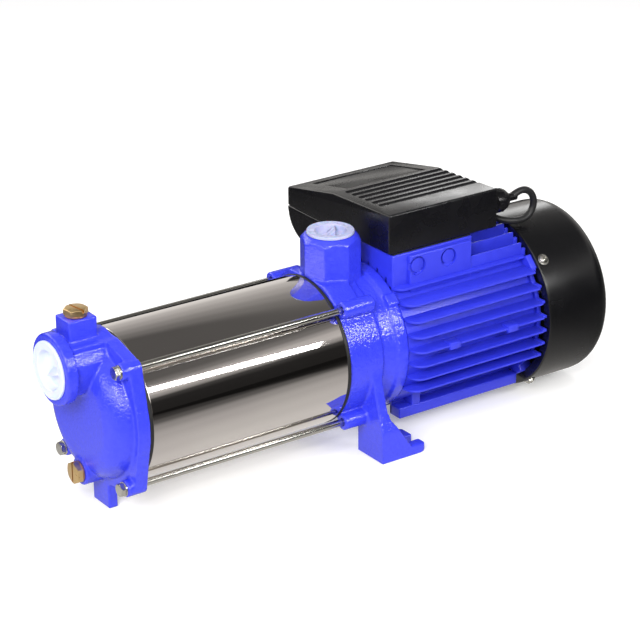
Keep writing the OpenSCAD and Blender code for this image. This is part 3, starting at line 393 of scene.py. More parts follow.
def skin_group() -> bpy.types.NodeTree:
    """Builds the shared group that gives a surface its lumps and its fine grain."""
    group, kit, inp, out = new_group(
        "Skin", {"Vector": None, "Lumps": 60.0, "Grain": 900.0, "Grain Share": 0.5}, ("Height", "Mask")
    )
    lumps = kit.add("TexNoise", noise_dimensions="3D", Detail=2.0, Roughness=0.5)
    grain = kit.add("TexNoise", noise_dimensions="3D", Detail=2.0, Roughness=0.6)
    mix = kit.add("Mix", data_type="FLOAT")
    kit.join(
        (inp, "Vector", lumps, "Vector"), (inp, "Vector", grain, "Vector"), (inp, "Lumps", lumps, "Scale"),
        (inp, "Grain", grain, "Scale"), (inp, "Grain Share", mix, "Factor"), (lumps, "Fac", mix, "A"),
        (grain, "Fac", mix, "B"), (mix, "Result", out, "Height"), (lumps, "Fac", out, "Mask"),
    )
    return group


def spread_group() -> bpy.types.NodeTree:
    """Builds the shared group that turns a mask into a value between two ends."""
    group, kit, inp, out = new_group("Spread", {"Mask": 0.5, "Low": 0.3, "High": 0.5}, ("Value",))
    ramp = kit.add("MapRange", From_Min=0.3, From_Max=0.7)
    kit.join(
        (inp, "Mask", ramp, "Value"), (inp, "Low", ramp, "To Min"), (inp, "High", ramp, "To Max"),
        (ramp, "Result", out, "Value"),
    )
    return group


@dataclass(frozen=True)
class Finish:
    """A procedural finish: colour, gloss and the skin of a surface.

    Lengths are in millimetres. Stretch squeezes the skin along an axis, for drawn or turned metal.
    """

    name: str
    color: Triple
    shade: Triple
    rough: Pair = (0.35, 0.45)
    metallic: float = 0.0
    lump: float = 12.0
    grain: float = 0.8
    grain_share: float = 0.5
    height: float = 0.05
    stretch: Triple = (1.0, 1.0, 1.0)
    coat: float = 0.0
    coat_rough: float = 0.1
    specular: float = 0.5
    translucence: float = 0.0

    def build(self, skin: bpy.types.NodeTree, spread: bpy.types.NodeTree) -> bpy.types.Material:
        """Builds the material from the shared groups.

        Args:
            skin: Group of lumps and grain.
            spread: Group that spreads a mask between two values.

        Returns:
            The material.
        """
        material = bpy.data.materials.new(self.name)
        material.use_nodes = True
        kit = Kit(material.node_tree)
        where = kit.add("TexCoord")
        mapping = kit.add("Mapping", Scale=self.stretch)
        surface = kit.add(
            "Group", node_tree=skin, Lumps=1 / (self.lump * MM), Grain=1 / (self.grain * MM),
            Grain_Share=self.grain_share,
        )
        shader = kit.add(
            "BsdfPrincipled", Metallic=self.metallic, Specular_IOR_Level=self.specular,
            Coat_Weight=self.coat, Coat_Roughness=self.coat_rough, Subsurface_Weight=self.translucence,
            Subsurface_Scale=2 * MM,
        )
        gloss = kit.add("Group", node_tree=spread, Low=self.rough[0], High=self.rough[1])
        bump = kit.add("Bump", Distance=self.height * MM)
        sheet = kit.add("OutputMaterial")
        kit.join(
            (where, "Object", mapping, "Vector"), (mapping, "Vector", surface, "Vector"),
            (*kit.blend((surface, "Mask"), self.shade, self.color), shader, "Base Color"),
            (surface, "Mask", gloss, "Mask"), (gloss, "Value", shader, "Roughness"),
            (surface, "Height", bump, "Height"), (bump, "Normal", shader, "Normal"),
            (shader, "BSDF", sheet, "Surface"),
        )
        return material


BLUE = (0.036, 0.050, 0.70)
BLUE_DEEP = (0.027, 0.036, 0.58)

FINISHES: dict[str, Finish] = {
    "casting_paint": Finish(
        "Blue enamel on casting", BLUE, BLUE_DEEP, rough=(0.08, 0.18), lump=3.6, grain=1.8,
        height=0.65, specular=0.85,
    ),
    # Painted shade: the casting's blue, darkened all over to stand in for the shade among the motor's fins.
    "motor_paint": Finish(
        "Blue enamel on motor darkened as painted shade", (0.030, 0.041, 0.61), (0.023, 0.031, 0.52), rough=(0.34, 0.42),
        lump=7, grain=1.2, grain_share=0.2, height=0.05, coat=0.15, coat_rough=0.2, specular=0.45,
    ),
    "stainless": Finish(
        "Mirror stainless steel", (0.86, 0.82, 0.79), (0.76, 0.71, 0.70), rough=(0.03, 0.07),
        metallic=1.0, lump=34, grain=9, grain_share=0.2, height=0.02, stretch=(0.4, 1, 1),
    ),
    "zinc": Finish(
        "Bright zinc plate", (0.68, 0.67, 0.63), (0.52, 0.51, 0.47), rough=(0.16, 0.28),
        metallic=1.0, lump=14, grain=0.8, grain_share=0.2, height=0.008, stretch=(0.15, 1, 1),
    ),
    "brass": Finish(
        "Turned brass", (0.95, 0.72, 0.38), (0.72, 0.47, 0.20), rough=(0.26, 0.42),
        metallic=1.0, lump=4, grain=0.35, height=0.03,
    ),
    "copper": Finish(
        "Soft copper", (0.78, 0.42, 0.26), (0.60, 0.30, 0.17), rough=(0.3, 0.45),
        metallic=1.0, lump=4, grain=0.4, height=0.02,
    ),
    "black_rubber": Finish(
        "Black rubber", (0.014, 0.014, 0.015), (0.008, 0.008, 0.009), rough=(0.45, 0.6),
        lump=5, grain=0.5, height=0.03,
    ),
    "black_plastic": Finish(
        "Black moulded plastic", (0.0055, 0.0053, 0.0065), (0.0038, 0.0038, 0.0048), rough=(0.22, 0.32),
        lump=20, grain=0.8, grain_share=0.3, height=0.002,
    ),
    "cover_steel": Finish(
        "Black enamel on steel", (0.0042, 0.0042, 0.005), (0.003, 0.003, 0.0035), rough=(0.2, 0.28),
        lump=30, grain=1.2, grain_share=0.4, height=0.02, specular=0.55,
    ),
    "white_plastic": Finish(
        "White moulded plastic", (0.64, 0.68, 0.82), (0.58, 0.62, 0.78), rough=(0.3, 0.4),
        lump=8, grain=0.8, height=0.02, translucence=0.15,
    ),
    "lilac_plastic": Finish(
        "Translucent moulded plastic", (0.42, 0.44, 0.62), (0.34, 0.36, 0.55), rough=(0.22, 0.32),
        lump=8, grain=0.8, height=0.02, translucence=0.3,
    ),
    "stage_plastic": Finish(
        "Glass filled plastic", (0.05, 0.05, 0.052), (0.03, 0.03, 0.032), rough=(0.5, 0.62),
        lump=6, grain=0.5, height=0.03,
    ),
    "impeller_plastic": Finish(
        "Natural glass filled plastic", (0.62, 0.57, 0.45), (0.52, 0.47, 0.36),
        rough=(0.42, 0.55), lump=6, grain=0.5, height=0.03,
    ),
    "ceramic": Finish(
        "Sintered ceramic", (0.78, 0.77, 0.74), (0.70, 0.69, 0.66), rough=(0.3, 0.4),
        lump=5, grain=0.4, height=0.01,
    ),
    "bearing_steel": Finish(
        "Ground bearing steel", (0.72, 0.72, 0.73), (0.64, 0.64, 0.65), rough=(0.1, 0.2),
        metallic=1.0, lump=6, grain=0.3, height=0.01,
    ),
    "shaft_steel": Finish(
        "Turned steel", (0.62, 0.61, 0.60), (0.50, 0.49, 0.48), rough=(0.22, 0.36),
        metallic=1.0, lump=5, grain=0.4, height=0.02, stretch=(6, 1, 1),
    ),
    "lamination": Finish(
        "Stacked electrical steel", (0.30, 0.30, 0.31), (0.20, 0.20, 0.21), rough=(0.4, 0.55),
        metallic=1.0, lump=4, grain=0.5, grain_share=0.8, height=0.05, stretch=(14, 1, 1),
    ),
    "winding": Finish(
        "Varnished copper wire", (0.50, 0.19, 0.07), (0.36, 0.12, 0.04), rough=(0.25, 0.4),
        metallic=0.6, lump=3, grain=0.7, height=0.2,
    ),
    "rotor_aluminium": Finish(
        "Cast aluminium", (0.66, 0.66, 0.66), (0.52, 0.52, 0.52), rough=(0.35, 0.5),
        metallic=1.0, lump=5, grain=0.6, height=0.05,
    ),
    "capacitor_white": Finish(
        "White capacitor can", (0.80, 0.80, 0.77), (0.74, 0.74, 0.71), rough=(0.35, 0.45),
        lump=10, grain=0.6, height=0.01,
    ),
    "cable": Finish(
        "Black cable sheath", (0.013, 0.013, 0.014), (0.009, 0.009, 0.010), rough=(0.38, 0.5),
        lump=14, grain=0.6, height=0.02,
    ),
}


class Paintbox:
    """Builds each finish once and dresses pieces with it."""

    def __init__(self) -> None:
        """Builds the shared groups and every material."""
        skin, spread = skin_group(), spread_group()
        self.materials = {slot: f.build(skin, spread) for slot, f in FINISHES.items()}

    def dress(self, piece: Obj, slot: str) -> Obj:
        """Gives a piece one finish all over."""
        piece.data.materials.clear()
        piece.data.materials.append(self.materials[slot])
        return piece

    def show(
        self, piece: Obj, slot: str, nodes: Sequence[str] = (), angle: float = 38.0, body: str = "pump"
    ) -> Obj:
        """Finishes a new piece: shading, material, the body it rides on and what it replaces.

        Args:
            piece: The finished mesh, at its place.
            slot: Material slot of the record.
            nodes: Nodes that it stands for.
            angle: Edges under this many degrees are shaded smooth.
            body: Body that it moves with.
        """
        alone(piece)
        bpy.ops.object.shade_smooth_by_angle(angle=math.radians(angle))
        self.dress(piece, slot)
        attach(piece, body)
        if nodes:
            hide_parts(*nodes)
        log.info("%s: %d faces", piece.name, len(piece.data.polygons))
        return piece


@dataclass
class Studio:
    """Camera, floor, lamps and the pale surroundings.

    The bands are pairs of height above the horizon and brightness, or of distance on the floor, where the
    band is a painted reflection that only reflections see.
    Each side is the stretch of direction over which its band fades in.
    """

    place: Triple = (-1.0872, -1.5283, 0.8911)
    heading: Triple = (0.5224, 0.7583, -0.3901)
    roll: float = -0.515
    lens: float = 138.18
    sensor: float = 36.0
    floor_size: float = 14.0
    floor_z: float = -0.0005
    floor_tone: Triple = (0.80, 0.79, 0.77)
    floor_glow: float = 0.32
    # Painted shade in reflections: over this stretch of X the floor's painted reflection dims.
    floor_reflection_fade: tuple[float, ...] = (0.14, 0.30, 1.0, 0.25)
    far_side: Pair = (-0.15, 0.35)
    left_side: Pair = (0.30, -0.05)
    ambient: Triple = (0.36, 0.36, 0.38)
    warmth: Triple = (1.0, 0.97, 0.93)
    # Painted reflection: brightness that reflections see on the floor, by distance from the pump's line.
    floor_reflection_band: tuple[Pair, ...] = (
        (0.0, 0.72), (0.06, 0.66), (0.10, 0.58), (0.17, 0.47), (0.26, 0.33), (0.40, 0.12), (0.62, 0.05),
        (1.0, 0.03),
    )
    front_band: tuple[Pair, ...] = (
        (0.0, 0.018), (0.20, 0.02), (0.29, 0.05), (0.35, 0.32), (0.43, 0.58), (0.49, 0.53), (0.54, 0.37),
        (0.60, 0.20), (0.68, 0.12), (0.88, 0.10), (1.0, 0.10),
    )
    back_band: tuple[Pair, ...] = (
        (0.0, 0.82), (0.12, 0.78), (0.36, 0.53), (0.55, 0.40), (0.68, 0.28), (0.78, 0.19), (0.86, 0.10),
        (1.0, 0.10),
    )
    left_band: tuple[Pair, ...] = (
        (0.0, 0.15), (0.22, 0.15), (0.34, 3.2), (0.50, 3.2), (0.62, 0.45), (1.0, 0.45),
    )

    def camera(self) -> None:
        """Adds the camera at the photograph's viewing angle."""
        data = bpy.data.cameras.new("Camera")
        data.lens, data.sensor_width = self.lens, self.sensor
        data.clip_end = 30
        cam = bpy.data.objects.new("Camera", data)
        bpy.context.scene.collection.objects.link(cam)
        ahead = Vector(self.heading).normalized()
        level = ahead.cross(Vector((0, 0, 1))).normalized()
        above = level.cross(ahead)
        turn = math.radians(self.roll)
        right = level * math.cos(turn) + above * math.sin(turn)
        up = above * math.cos(turn) - level * math.sin(turn)
        axes = Matrix((right, up, -ahead)).transposed().to_4x4()
        cam.matrix_world = Matrix.Translation(self.place) @ axes
        bpy.context.scene.camera = cam

    def lamp(
        self, name: str, place: Triple, aim: Triple, size: Pair, watts: float, along: Triple = (1, 0, 0),
        seen: bool = False,
    ) -> None:
        """Adds one soft lamp.

        Args:
            name: Name of the lamp.
            place: Where it hangs, in metres.
            aim: Point that it looks at.
            size: Width and height.
            watts: Its power.
            along: Way in which its width runs.
            seen: Whether what shines shows it.
        """
        data = bpy.data.lights.new(name, "AREA")
        data.shape, data.energy = "RECTANGLE", watts
        data.size, data.size_y = size
        obj = bpy.data.objects.new(name, data)
        obj.location = place
        back = (Vector(place) - Vector(aim)).normalized()
        side = (Vector(along) - back * back.dot(Vector(along))).normalized()
        turn = Matrix((side, back.cross(side), back)).transposed()
        obj.rotation_euler = turn.to_euler()
        obj.visible_glossy = seen
        bpy.context.scene.collection.objects.link(obj)

    def lights(self) -> None:
        """Hangs the lamps."""
        middle = (0.0, 0.0, 0.08)
        sleeve = (-0.14, -0.05, 0.12)
        self.lamp("Key", (-1.9, -1.3, 1.5), middle, (1.2, 1.2), 70)
        self.lamp("Fill", (0.5, -2.2, 1.2), middle, (1.4, 1.4), 3)
        self.lamp("Top", (0.1, 0.1, 2.3), middle, (1.6, 1.6), 24)
        self.lamp("Spark", (-1.5, -1.7, 1.5), middle, (0.26, 0.26), 12, seen=True)
        self.lamp("Strip", (0.325, -0.885, 0.594), sleeve, (0.58, 0.10), 4.2, (0.9, -0.06, -0.09), True)
        self.lamp("Edge", (0.80, 0.76, 0.55), (0.18, 0.0, 0.15), (0.26, 0.26), 0.8, seen=True)

    def floor(self) -> None:
        """Lays a pale floor, white to the camera where unshaded; to reflections it shows a painted
        reflection, a glow that fades away from the pump's line and dims towards +X as painted shade.
        """
        bpy.ops.mesh.primitive_plane_add(size=self.floor_size, location=(0, 0, self.floor_z))
        floor = bpy.context.object
        floor.name = "Floor"
        material = bpy.data.materials.new("Pale floor")
        material.use_nodes = True
        kit = Kit(material.node_tree)
        ray = kit.add("LightPath")
        cloth = kit.add("BsdfDiffuse", Color=(*self.floor_tone, 1))
        glow = kit.add("Emission", Color=(1, 1, 1, 1))
        lift = kit.add("Math", operation="MULTIPLY")
        lift.inputs[1].default_value = self.floor_glow
        both = kit.add("AddShader")
        where = kit.add("TexCoord")
        flat = kit.add("SeparateXYZ")
        off = kit.add("Math", operation="ABSOLUTE")
        shine = kit.add("Emission")
        pick = kit.add("MixShader")
        out = kit.add("OutputMaterial")
        kit.join(
            (ray, "Is Camera Ray", lift, 0), (lift, 0, glow, "Strength"), (cloth, 0, both, 0),
            (glow, 0, both, 1), (where, "Object", flat, 0), (flat, "Y", off, 0),
            # Painted reflection: reflections see this glow instead of the lit floor, dimmed towards +X as
            # painted shade.
            (*self.band(kit, (off, 0), self.floor_reflection_band), shine, "Color"),
            (*kit.ease((flat, "X"), *self.floor_reflection_fade), shine, "Strength"),
            (ray, "Is Glossy Ray", pick, 0), (both, 0, pick, 1), (shine, 0, pick, 2),
            (pick, 0, out, "Surface"),
        )
        floor.data.materials.append(material)

    def band(self, kit: Kit, source: Source, stops: Sequence[Pair]) -> Source:
        """Adds a ramp from a height or a distance to brightness.

        Args:
            kit: Kit of the tree.
            source: Node and output with the height or the distance.
            stops: Pairs of height and brightness.
        """
        ramp = kit.add("ValToRGB")
        ramp.color_ramp.interpolation = "EASE"
        elements = ramp.color_ramp.elements
        for _ in range(len(stops) - 2):
            elements.new(0.5)
        for element, (at, value) in zip(elements, stops):
            element.position = at
            element.color = (*(value * share for share in self.warmth), 1)
        kit.join((*source, ramp, "Fac"))
        return ramp, "Color"

    def world(self) -> None:
        """Makes surroundings that are white to the camera and a studio to what shines."""
        world = bpy.data.worlds.new("Studio")
        bpy.context.scene.world = world
        world.use_nodes = True
        kit = Kit(world.node_tree)
        where = kit.add("TexCoord")
        split = kit.add("SeparateXYZ")
        kit.join((where, "Generated", split, 0))
        front, back, left = (
            self.band(kit, (split, "Z"), stops) for stops in (self.front_band, self.back_band, self.left_band)
        )
        room = kit.blend(kit.ease((split, "Y"), *self.far_side), front, back)
        whole = kit.blend(kit.ease((split, "X"), *self.left_side), room, left)
        ray = kit.add("LightPath")
        shiny = kit.blend((ray, "Is Glossy Ray"), self.ambient, whole)
        seen = kit.blend((ray, "Is Camera Ray"), shiny, (1, 1, 1))
        sky = kit.add("Background")
        out = kit.add("OutputWorld")
        kit.join((*seen, sky, "Color"), (sky, 0, out, "Surface"))

    def build(self) -> None:
        """Sets up the whole studio."""
        self.camera()
        self.lights()
        self.floor()
        self.world()
        bpy.context.scene.view_settings.view_transform = "Standard"


def cubic(a: Vector, b: Vector, c: Vector, d: Vector, t: float) -> Vector:
    """Returns the point at t between b and c on a smooth line through four points."""
    return 0.5 * (
        2 * b + (c - a) * t + (2 * a - 5 * b + 4 * c - d) * t**2 + (3 * b - a - 3 * c + d) * t**3
    )


def smooth_line(points: Sequence[Vector], steps: int) -> list[Vector]:
    """Returns a smooth line through the points, with this many steps between two of them."""
    last = len(points) - 1
    line = []
    for i in range(last):
        a, b, c, d = (points[max(0, min(last, k))] for k in range(i - 1, i + 3))
        line += [cubic(a, b, c, d, k / steps) for k in range(steps)]
    return line + [points[last]]


@dataclass
class Cable:
    """The mains cable from the gland to its plug, with its coil, in millimetres.

    Start is how it leaves the gland, loop the place and radius of the bow beside it. Inward, climb
    and outward are the turns of the coil's lower layer, of its step up and of its upper layer.
    """

    paints: Paintbox
    diameter: float = 6.0
    start: tuple[Triple, ...] = ((140, -24, 181), (145.6, -24, 181.7), (151, -24, 183.5))
    loop: Triple = (156.3, 171.3, 13.2)
    steps: int = 6
    coil_steps: int = 24
    inward: float = 2.0
    climb: float = 0.5
    outward: float = 1.75
    route: tuple[Triple, ...] = (
        (151.2, -23.8, 158.2), (146.2, -22.5, 158.7), (141.7, -19.8, 159.5), (138.1, -16, 160.4),
        (135.7, -11.3, 161.3), (134.4, -6, 162.1), (134, -0.5, 162.6), (134, 5.5, 162.8),
        (134, 12, 162.3), (134, 20, 160.5), (134, 30, 157.1), (134, 42, 151.2),
        (134, 54, 142), (134.2, 65.5, 127), (134.6, 74, 108), (135, 79, 88), (135.5, 81, 66),
        (136, 82.5, 46), (136.5, 87, 28), (136.9, 95, 13.5), (137.1, 105, 6), (137.2, 116, 3.5),
        (137.1, 127, 3.1),
    )
    tail: tuple[Triple, ...] = (
        (97, 167, 9.3), (89, 167, 9.7), (80, 166.7, 12), (72, 165.9, 15.9), (66, 165.3, 18.1),
        PLUG_PLACE,
    )
    coil_outer: float = 40.1
    coil_inner: float = 27.9
    layer: Pair = (3.1, 9.3)

    def coil(self) -> list[Vector]:
        """Winds two turns inwards on the floor, then steps up and winds outwards on them."""
        x, y = COIL_CENTRE
        span = self.coil_outer - self.coil_inner
        low, high = self.layer
        top = self.inward + self.climb
        points = []
        for k in range(1, int((top + self.outward) * self.coil_steps)):
            turn = k / self.coil_steps
            if turn <= self.inward:
                radius, z = self.coil_outer - span * turn / self.inward, low
            elif turn <= top:
                ease = (turn - self.inward) / self.climb
                radius, z = self.coil_inner, low + (high - low) * ease * ease * (3 - 2 * ease)
            else:
                radius, z = self.coil_inner + span * (turn - self.inward - self.climb) / self.outward, high
            angle = turn * math.tau
            points.append(Vector((x + radius * math.cos(angle), y + radius * math.sin(angle), z)))
        return points

    def line(self) -> list[Vector]:
        """Returns the whole centre line, in metres."""
        x, z, radius = self.loop
        turns = [math.radians(90 - 22.5 * k) for k in range(9)]
        bow = [(x + radius * math.cos(a), self.start[0][1], z + radius * math.sin(a)) for a in turns]
        start = smooth_line([Vector(p) for p in (*self.start, *bow, *self.route)], self.steps)
        end = smooth_line([Vector(p) for p in self.tail], self.steps)
        return [p * MM for p in start + self.coil() + end]

    def build(self) -> None:
        line = self.line()
        data = bpy.data.curves.new("cable", "CURVE")
        data.dimensions = "3D"
        data.bevel_depth = self.diameter / 2 * MM
        data.bevel_resolution = 5
        data.use_fill_caps = True
        spline = data.splines.new("POLY")
        spline.points.add(len(line) - 1)
        for point, here in zip(spline.points, line):
            point.co = (*here, 1)
        spline.use_smooth = True
        cable = bpy.data.objects.new("mains_cable", data)
        bpy.context.scene.collection.objects.link(cable)
        self.paints.dress(cable, "cable")
        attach(cable, "pump")
        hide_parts("power_cord", "cord_coil", "cord_tail")


def cast(name: str, node: str, cell: float, rounds: int) -> Obj:
    """Gives a casting the soft edges of sand casting, starting from a copy of its frame mesh.

    Args:
        name: Name of the new piece.
        node: Node whose mesh is copied.
        cell: Size of the remeshed cells, in millimetres.
        rounds: Rounds of smoothing, which set how soft the edges get.
    """
    obj = bpy.data.objects.new(name, NODES[node].data.copy())
    bpy.context.scene.collection.objects.link(obj)
    seat(obj, NODES[node].matrix_world.copy())
    bpy.ops.object.mode_set(mode="EDIT")
    weld()
    applied(obj, "REMESH", mode="VOXEL", voxel_size=cell * MM)
    return applied(obj, "SMOOTH", factor=0.5, iterations=rounds)


def ring(name: str, outer: float, inner: float, height: float, edge: float) -> Obj:
    """Turns a flat ring along Z with rounded edges, in millimetres."""
    corners = [(inner, 0), (outer, 0, edge), (outer, height, edge), (inner, height, edge)]
    return turned(name, closed(corners, 3), 64)


def port_thread(paints: Paintbox, name: str, radius: float, start: Sequence[float], run: Run) -> None:
    """Winds the painted thread in a port's wall.

    Args:
        paints: Finishes to dress it with.
        name: Name of the new piece.
        radius: Radius of the port.
        start: Middle of the thread's inner end.
        run: Direction from there to the port's mouth.
    """
    thread = threaded(name, radius, PORT_PITCH, 6, 0.9)
    paints.show(seat(thread, placing(start, run)), "casting_paint")


def bolt_head(name: str, flats: float, height: float) -> Obj:
    """Makes a hexagon along Z with its top corners turned off, in millimetres."""
    reach = flats / math.sqrt(3)
    head = seat(rod(name, reach, height, 6), about("Z", 90))
    top = height + 0.02
    corners = [(0, -1), (reach + 1, -1), (reach + 1, height - 1.2), (flats * 0.46, top), (0, top)]
    combined(head, [turned("crown", corners, 48)], "INTERSECT")
    return bevelled(head, 0.18, 1, 25)


@dataclass
class BrassPlug:
    """A brass plug with a hexagon head, a slot and a thread, and its sealing washer."""

    paints: Paintbox
    name: str
    flats: float = 17.0
    head: float = 5.0
    shank_r: float = 6.3
    shank: float = 9.0
    pitch: float = 1.337
    flank: float = 0.75
    slot: Pair = (1.7, 2.3)
    washer: Triple = (8.7, 6.4, 1.5)

    def build(self, start: Sequence[float], run: Run, roll: float, bodies: tuple[str, str]) -> None:
        """Models plug and washer.

        Args:
            start: Middle of the washer's under face.
            run: Direction in which the plug unscrews.
            roll: Degrees from the place's own X to the slot.
            bodies: Bodies of the plug and of the washer.
        """
        outer, inner, thick = self.washer
        head = bolt_head("head", self.flats, self.head)
        width, deep = self.slot
        tool = block("slot", (-20, -width / 2, self.head - deep), (20, width / 2, self.head + 2))
        combined(head, [tool])
        core = seat(rod("core", self.shank_r - self.flank, self.shank, 40), shift(z=-self.shank))
        bevelled(core, 0.5, 2)
        turns = int((self.shank - 1) / self.pitch)
        coils = threaded("coils", self.shank_r, self.pitch, turns, self.flank)
        seat(coils, shift(z=0.6 - self.shank))
        plug = joined(self.name + "_body", [head, core, coils])
        lifted = placing(start, run, roll) @ shift(z=thick + 0.1)
        self.paints.show(seat(plug, lifted), "brass", [self.name], 30, bodies[0])
        gasket = ring(self.name + "_ring", outer, inner, thick, 0.4)
        self.paints.show(seat(gasket, placing(start, run)), "copper", [self.name + "_washer"], body=bodies[1])


@dataclass
class PortCap:
    """A moulded transport cap with a recessed face, a rib across it and a skirt."""

    paints: Paintbox
    name: str
    slot: str
    flange: float
    skirt: float
    recess: float
    depth: float
    rib: float
    top: float = 2.2
    wall: float = 1.2

    def build(self, start: Sequence[float], run: Run, roll: float, body: str) -> None:
        """Models the cap with its flange's underside at the start."""
        top, floor = self.top, self.top - self.depth
        edge, skirt = self.flange, self.skirt
        corners = [
            (0, floor), (self.recess - self.wall, floor, 1.5), (self.recess, top, 0.7), (edge, top, 0.8),
            (edge, 0.15, 0.3), (skirt, 0.15), (skirt - 0.4, -5.2, 0.5), (skirt - 2.2, -5.6, 0.5),
            (skirt - 2.4, floor - self.wall), (0, floor - self.wall),
        ]
        cap = turned("cap", rounded(corners, 4))
        corners = [
            (edge - 2.2, top - 0.2), (edge - 1.9, top + 0.28, 0.2), (edge - 0.5, top + 0.28, 0.2),
            (edge - 0.2, top - 0.2),
        ]
        rim = turned("rim", rounded(corners, 3))
        ridge = top - 0.5
        outline = [(-self.rib * 2.4, floor), (0, ridge), (self.rib * 0.5, ridge), (self.rib * 0.8, floor)]
        web = drawn("web", outline, self.recess * 1.1)
        seat(web, placing((0, self.recess * 0.1, 0), Run.NEAR))
        seat(web, shift(self.recess * 0.2, self.recess * 0.75))
        bevelled(web, 0.35)
        piece = joined(self.name + "_body", [cap, rim, web])
        self.paints.show(seat(piece, placing(start, run, roll)), self.slot, [self.name], 40, body)


@dataclass
class SuctionEnd:
    """Front cover casting with its plugs and its port."""

    paints: Paintbox
    cell: float = 0.92
    rounds: int = 3
    port_r: float = 19.48

    def build(self) -> None:
        """Models the suction end."""
        casing = cast("suction_cover", "suction_casing", self.cell, self.rounds)
        self.paints.show(casing, "casting_paint", ["suction_casing"], 60)
        low, high = node_box("priming_plug_washer")
        BrassPlug(self.paints, "priming_plug").build(
            ((low.x + high.x) / 2, 0, low.z), Run.UP, 100, ("priming_screw", "priming_washer"),
        )
        low, high = node_box("drain_plug_washer")
        BrassPlug(self.paints, "drain_plug").build(
            (high.x, 0, (low.z + high.z) / 2), Run.FORE, 0, ("drain_screw", "drain_washer"),
        )
        low, high = node_box("suction_port_plug")
        middle = (low.z + high.z) / 2
        face = node_box("suction_casing")[0].x
        cap = PortCap(
            self.paints, "suction_port_plug", "white_plastic", flange=(high.z - low.z) / 2, skirt=20.5,
            recess=16.2, depth=7.2, rib=2.0,
        )
        cap.build((face, 0, middle), Run.FORE, 200, "suction_cap")
        port_thread(self.paints, "suction_thread", self.port_r, (face + PORT_DEPTH, 0, middle), Run.FORE)


@dataclass
class SleeveStack:
    """Polished sleeve between two rubber rings, and the tie rods that clamp it."""

    paints: Paintbox
    outer: float = 62.5
    wall: float = 1.5
    rod_r: float = 3.0
    flats: float = 10.0
    head: float = 4.0
    washer: Triple = (6.0, 3.15, 1.2)
    rod_circle: float = 68.6
    rod_turns: tuple[float, ...] = (38, -47.5, 134, -134.5)
    bead_inner: float = 57.5

    def sleeve(self) -> None:
        """Turns the sleeve with its rounded edges."""
        low, high = node_box("stainless_sleeve")
        length = high.x - low.x
        inner = self.outer - self.wall
        corners = [(inner, 0), (self.outer, 0, 0.6), (self.outer, length, 0.6), (inner, length)]
        tube = turned("sleeve", closed(corners, 5), 288)
        seat(tube, placing((low.x, 0, SHAFT_Z), Run.AFT))
        self.paints.show(tube, "stainless", ["stainless_sleeve"], 30)

    def seals(self) -> None:
        """Turns the two rubber rings with a rounded bead."""
        for node in ("front_sleeve_seal", "rear_sleeve_seal"):
            low, high = node_box(node)
            width, outer = high.x - low.x, (high.z - low.z) / 2
            bead = ring(node + "_bead", outer, self.bead_inner, width, 0.9)
            seat(bead, placing((low.x, 0, SHAFT_Z), Run.AFT))
            self.paints.show(bead, "black_rubber", [node])

    def rods(self) -> None:
        """Models four tie rods with hexagon heads and washers."""
        rear = node_box("tie_rods")[1].x
        front = node_box("tie_rod_washers")[0].x
        rods, washers = [], []
        for k, degrees in enumerate(self.rod_turns):
            turn = math.radians(degrees)
            here = (front, self.rod_circle * math.cos(turn), SHAFT_Z + self.rod_circle * math.sin(turn))
            shank = bevelled(rod("shank", self.rod_r, rear - front, 32), 0.4, 2)
            rods.append(seat(shank, placing(here, Run.AFT)))
            rods.append(seat(bolt_head("head", self.flats, self.head), placing(here, Run.FORE, 17 * k)))
            washers.append(seat(ring("washer", *self.washer, 0.25), placing(here, Run.AFT)))
        self.paints.show(joined("rods", rods), "zinc", ["tie_rods"], 30)
        self.paints.show(joined("rod_washers", washers), "zinc", ["tie_rod_washers"])

    def build(self) -> None:
        """Models the sleeve, the rings and the rods."""
        self.sleeve()
        self.seals()
        self.rods()


@dataclass
class DischargeEnd:
    """Rear pump casting with its feet, its port and the port's cap."""

    paints: Paintbox
    cell: float = 1.25
    rounds: int = 4
    port_r: float = 15.15

    def build(self) -> None:
        """Models the discharge end."""
        casing = cast("discharge_body", "discharge_casing", self.cell, self.rounds)
        self.paints.show(casing, "casting_paint", ["discharge_casing"], 60)
        low, high = node_box("discharge_port_plug")
        x, top = (low.x + high.x) / 2, node_box("discharge_casing")[1].z
        cap = PortCap(
            self.paints, "discharge_port_plug", "lilac_plastic", flange=(high.x - low.x) / 2, skirt=16.2,
            recess=13.2, depth=5.6, rib=2.4,
        )
        cap.build((x, 0, top), Run.UP, -35, "discharge_cap")
        port_thread(self.paints, "discharge_thread", self.port_r, (x, 0, top - PORT_DEPTH), Run.UP)


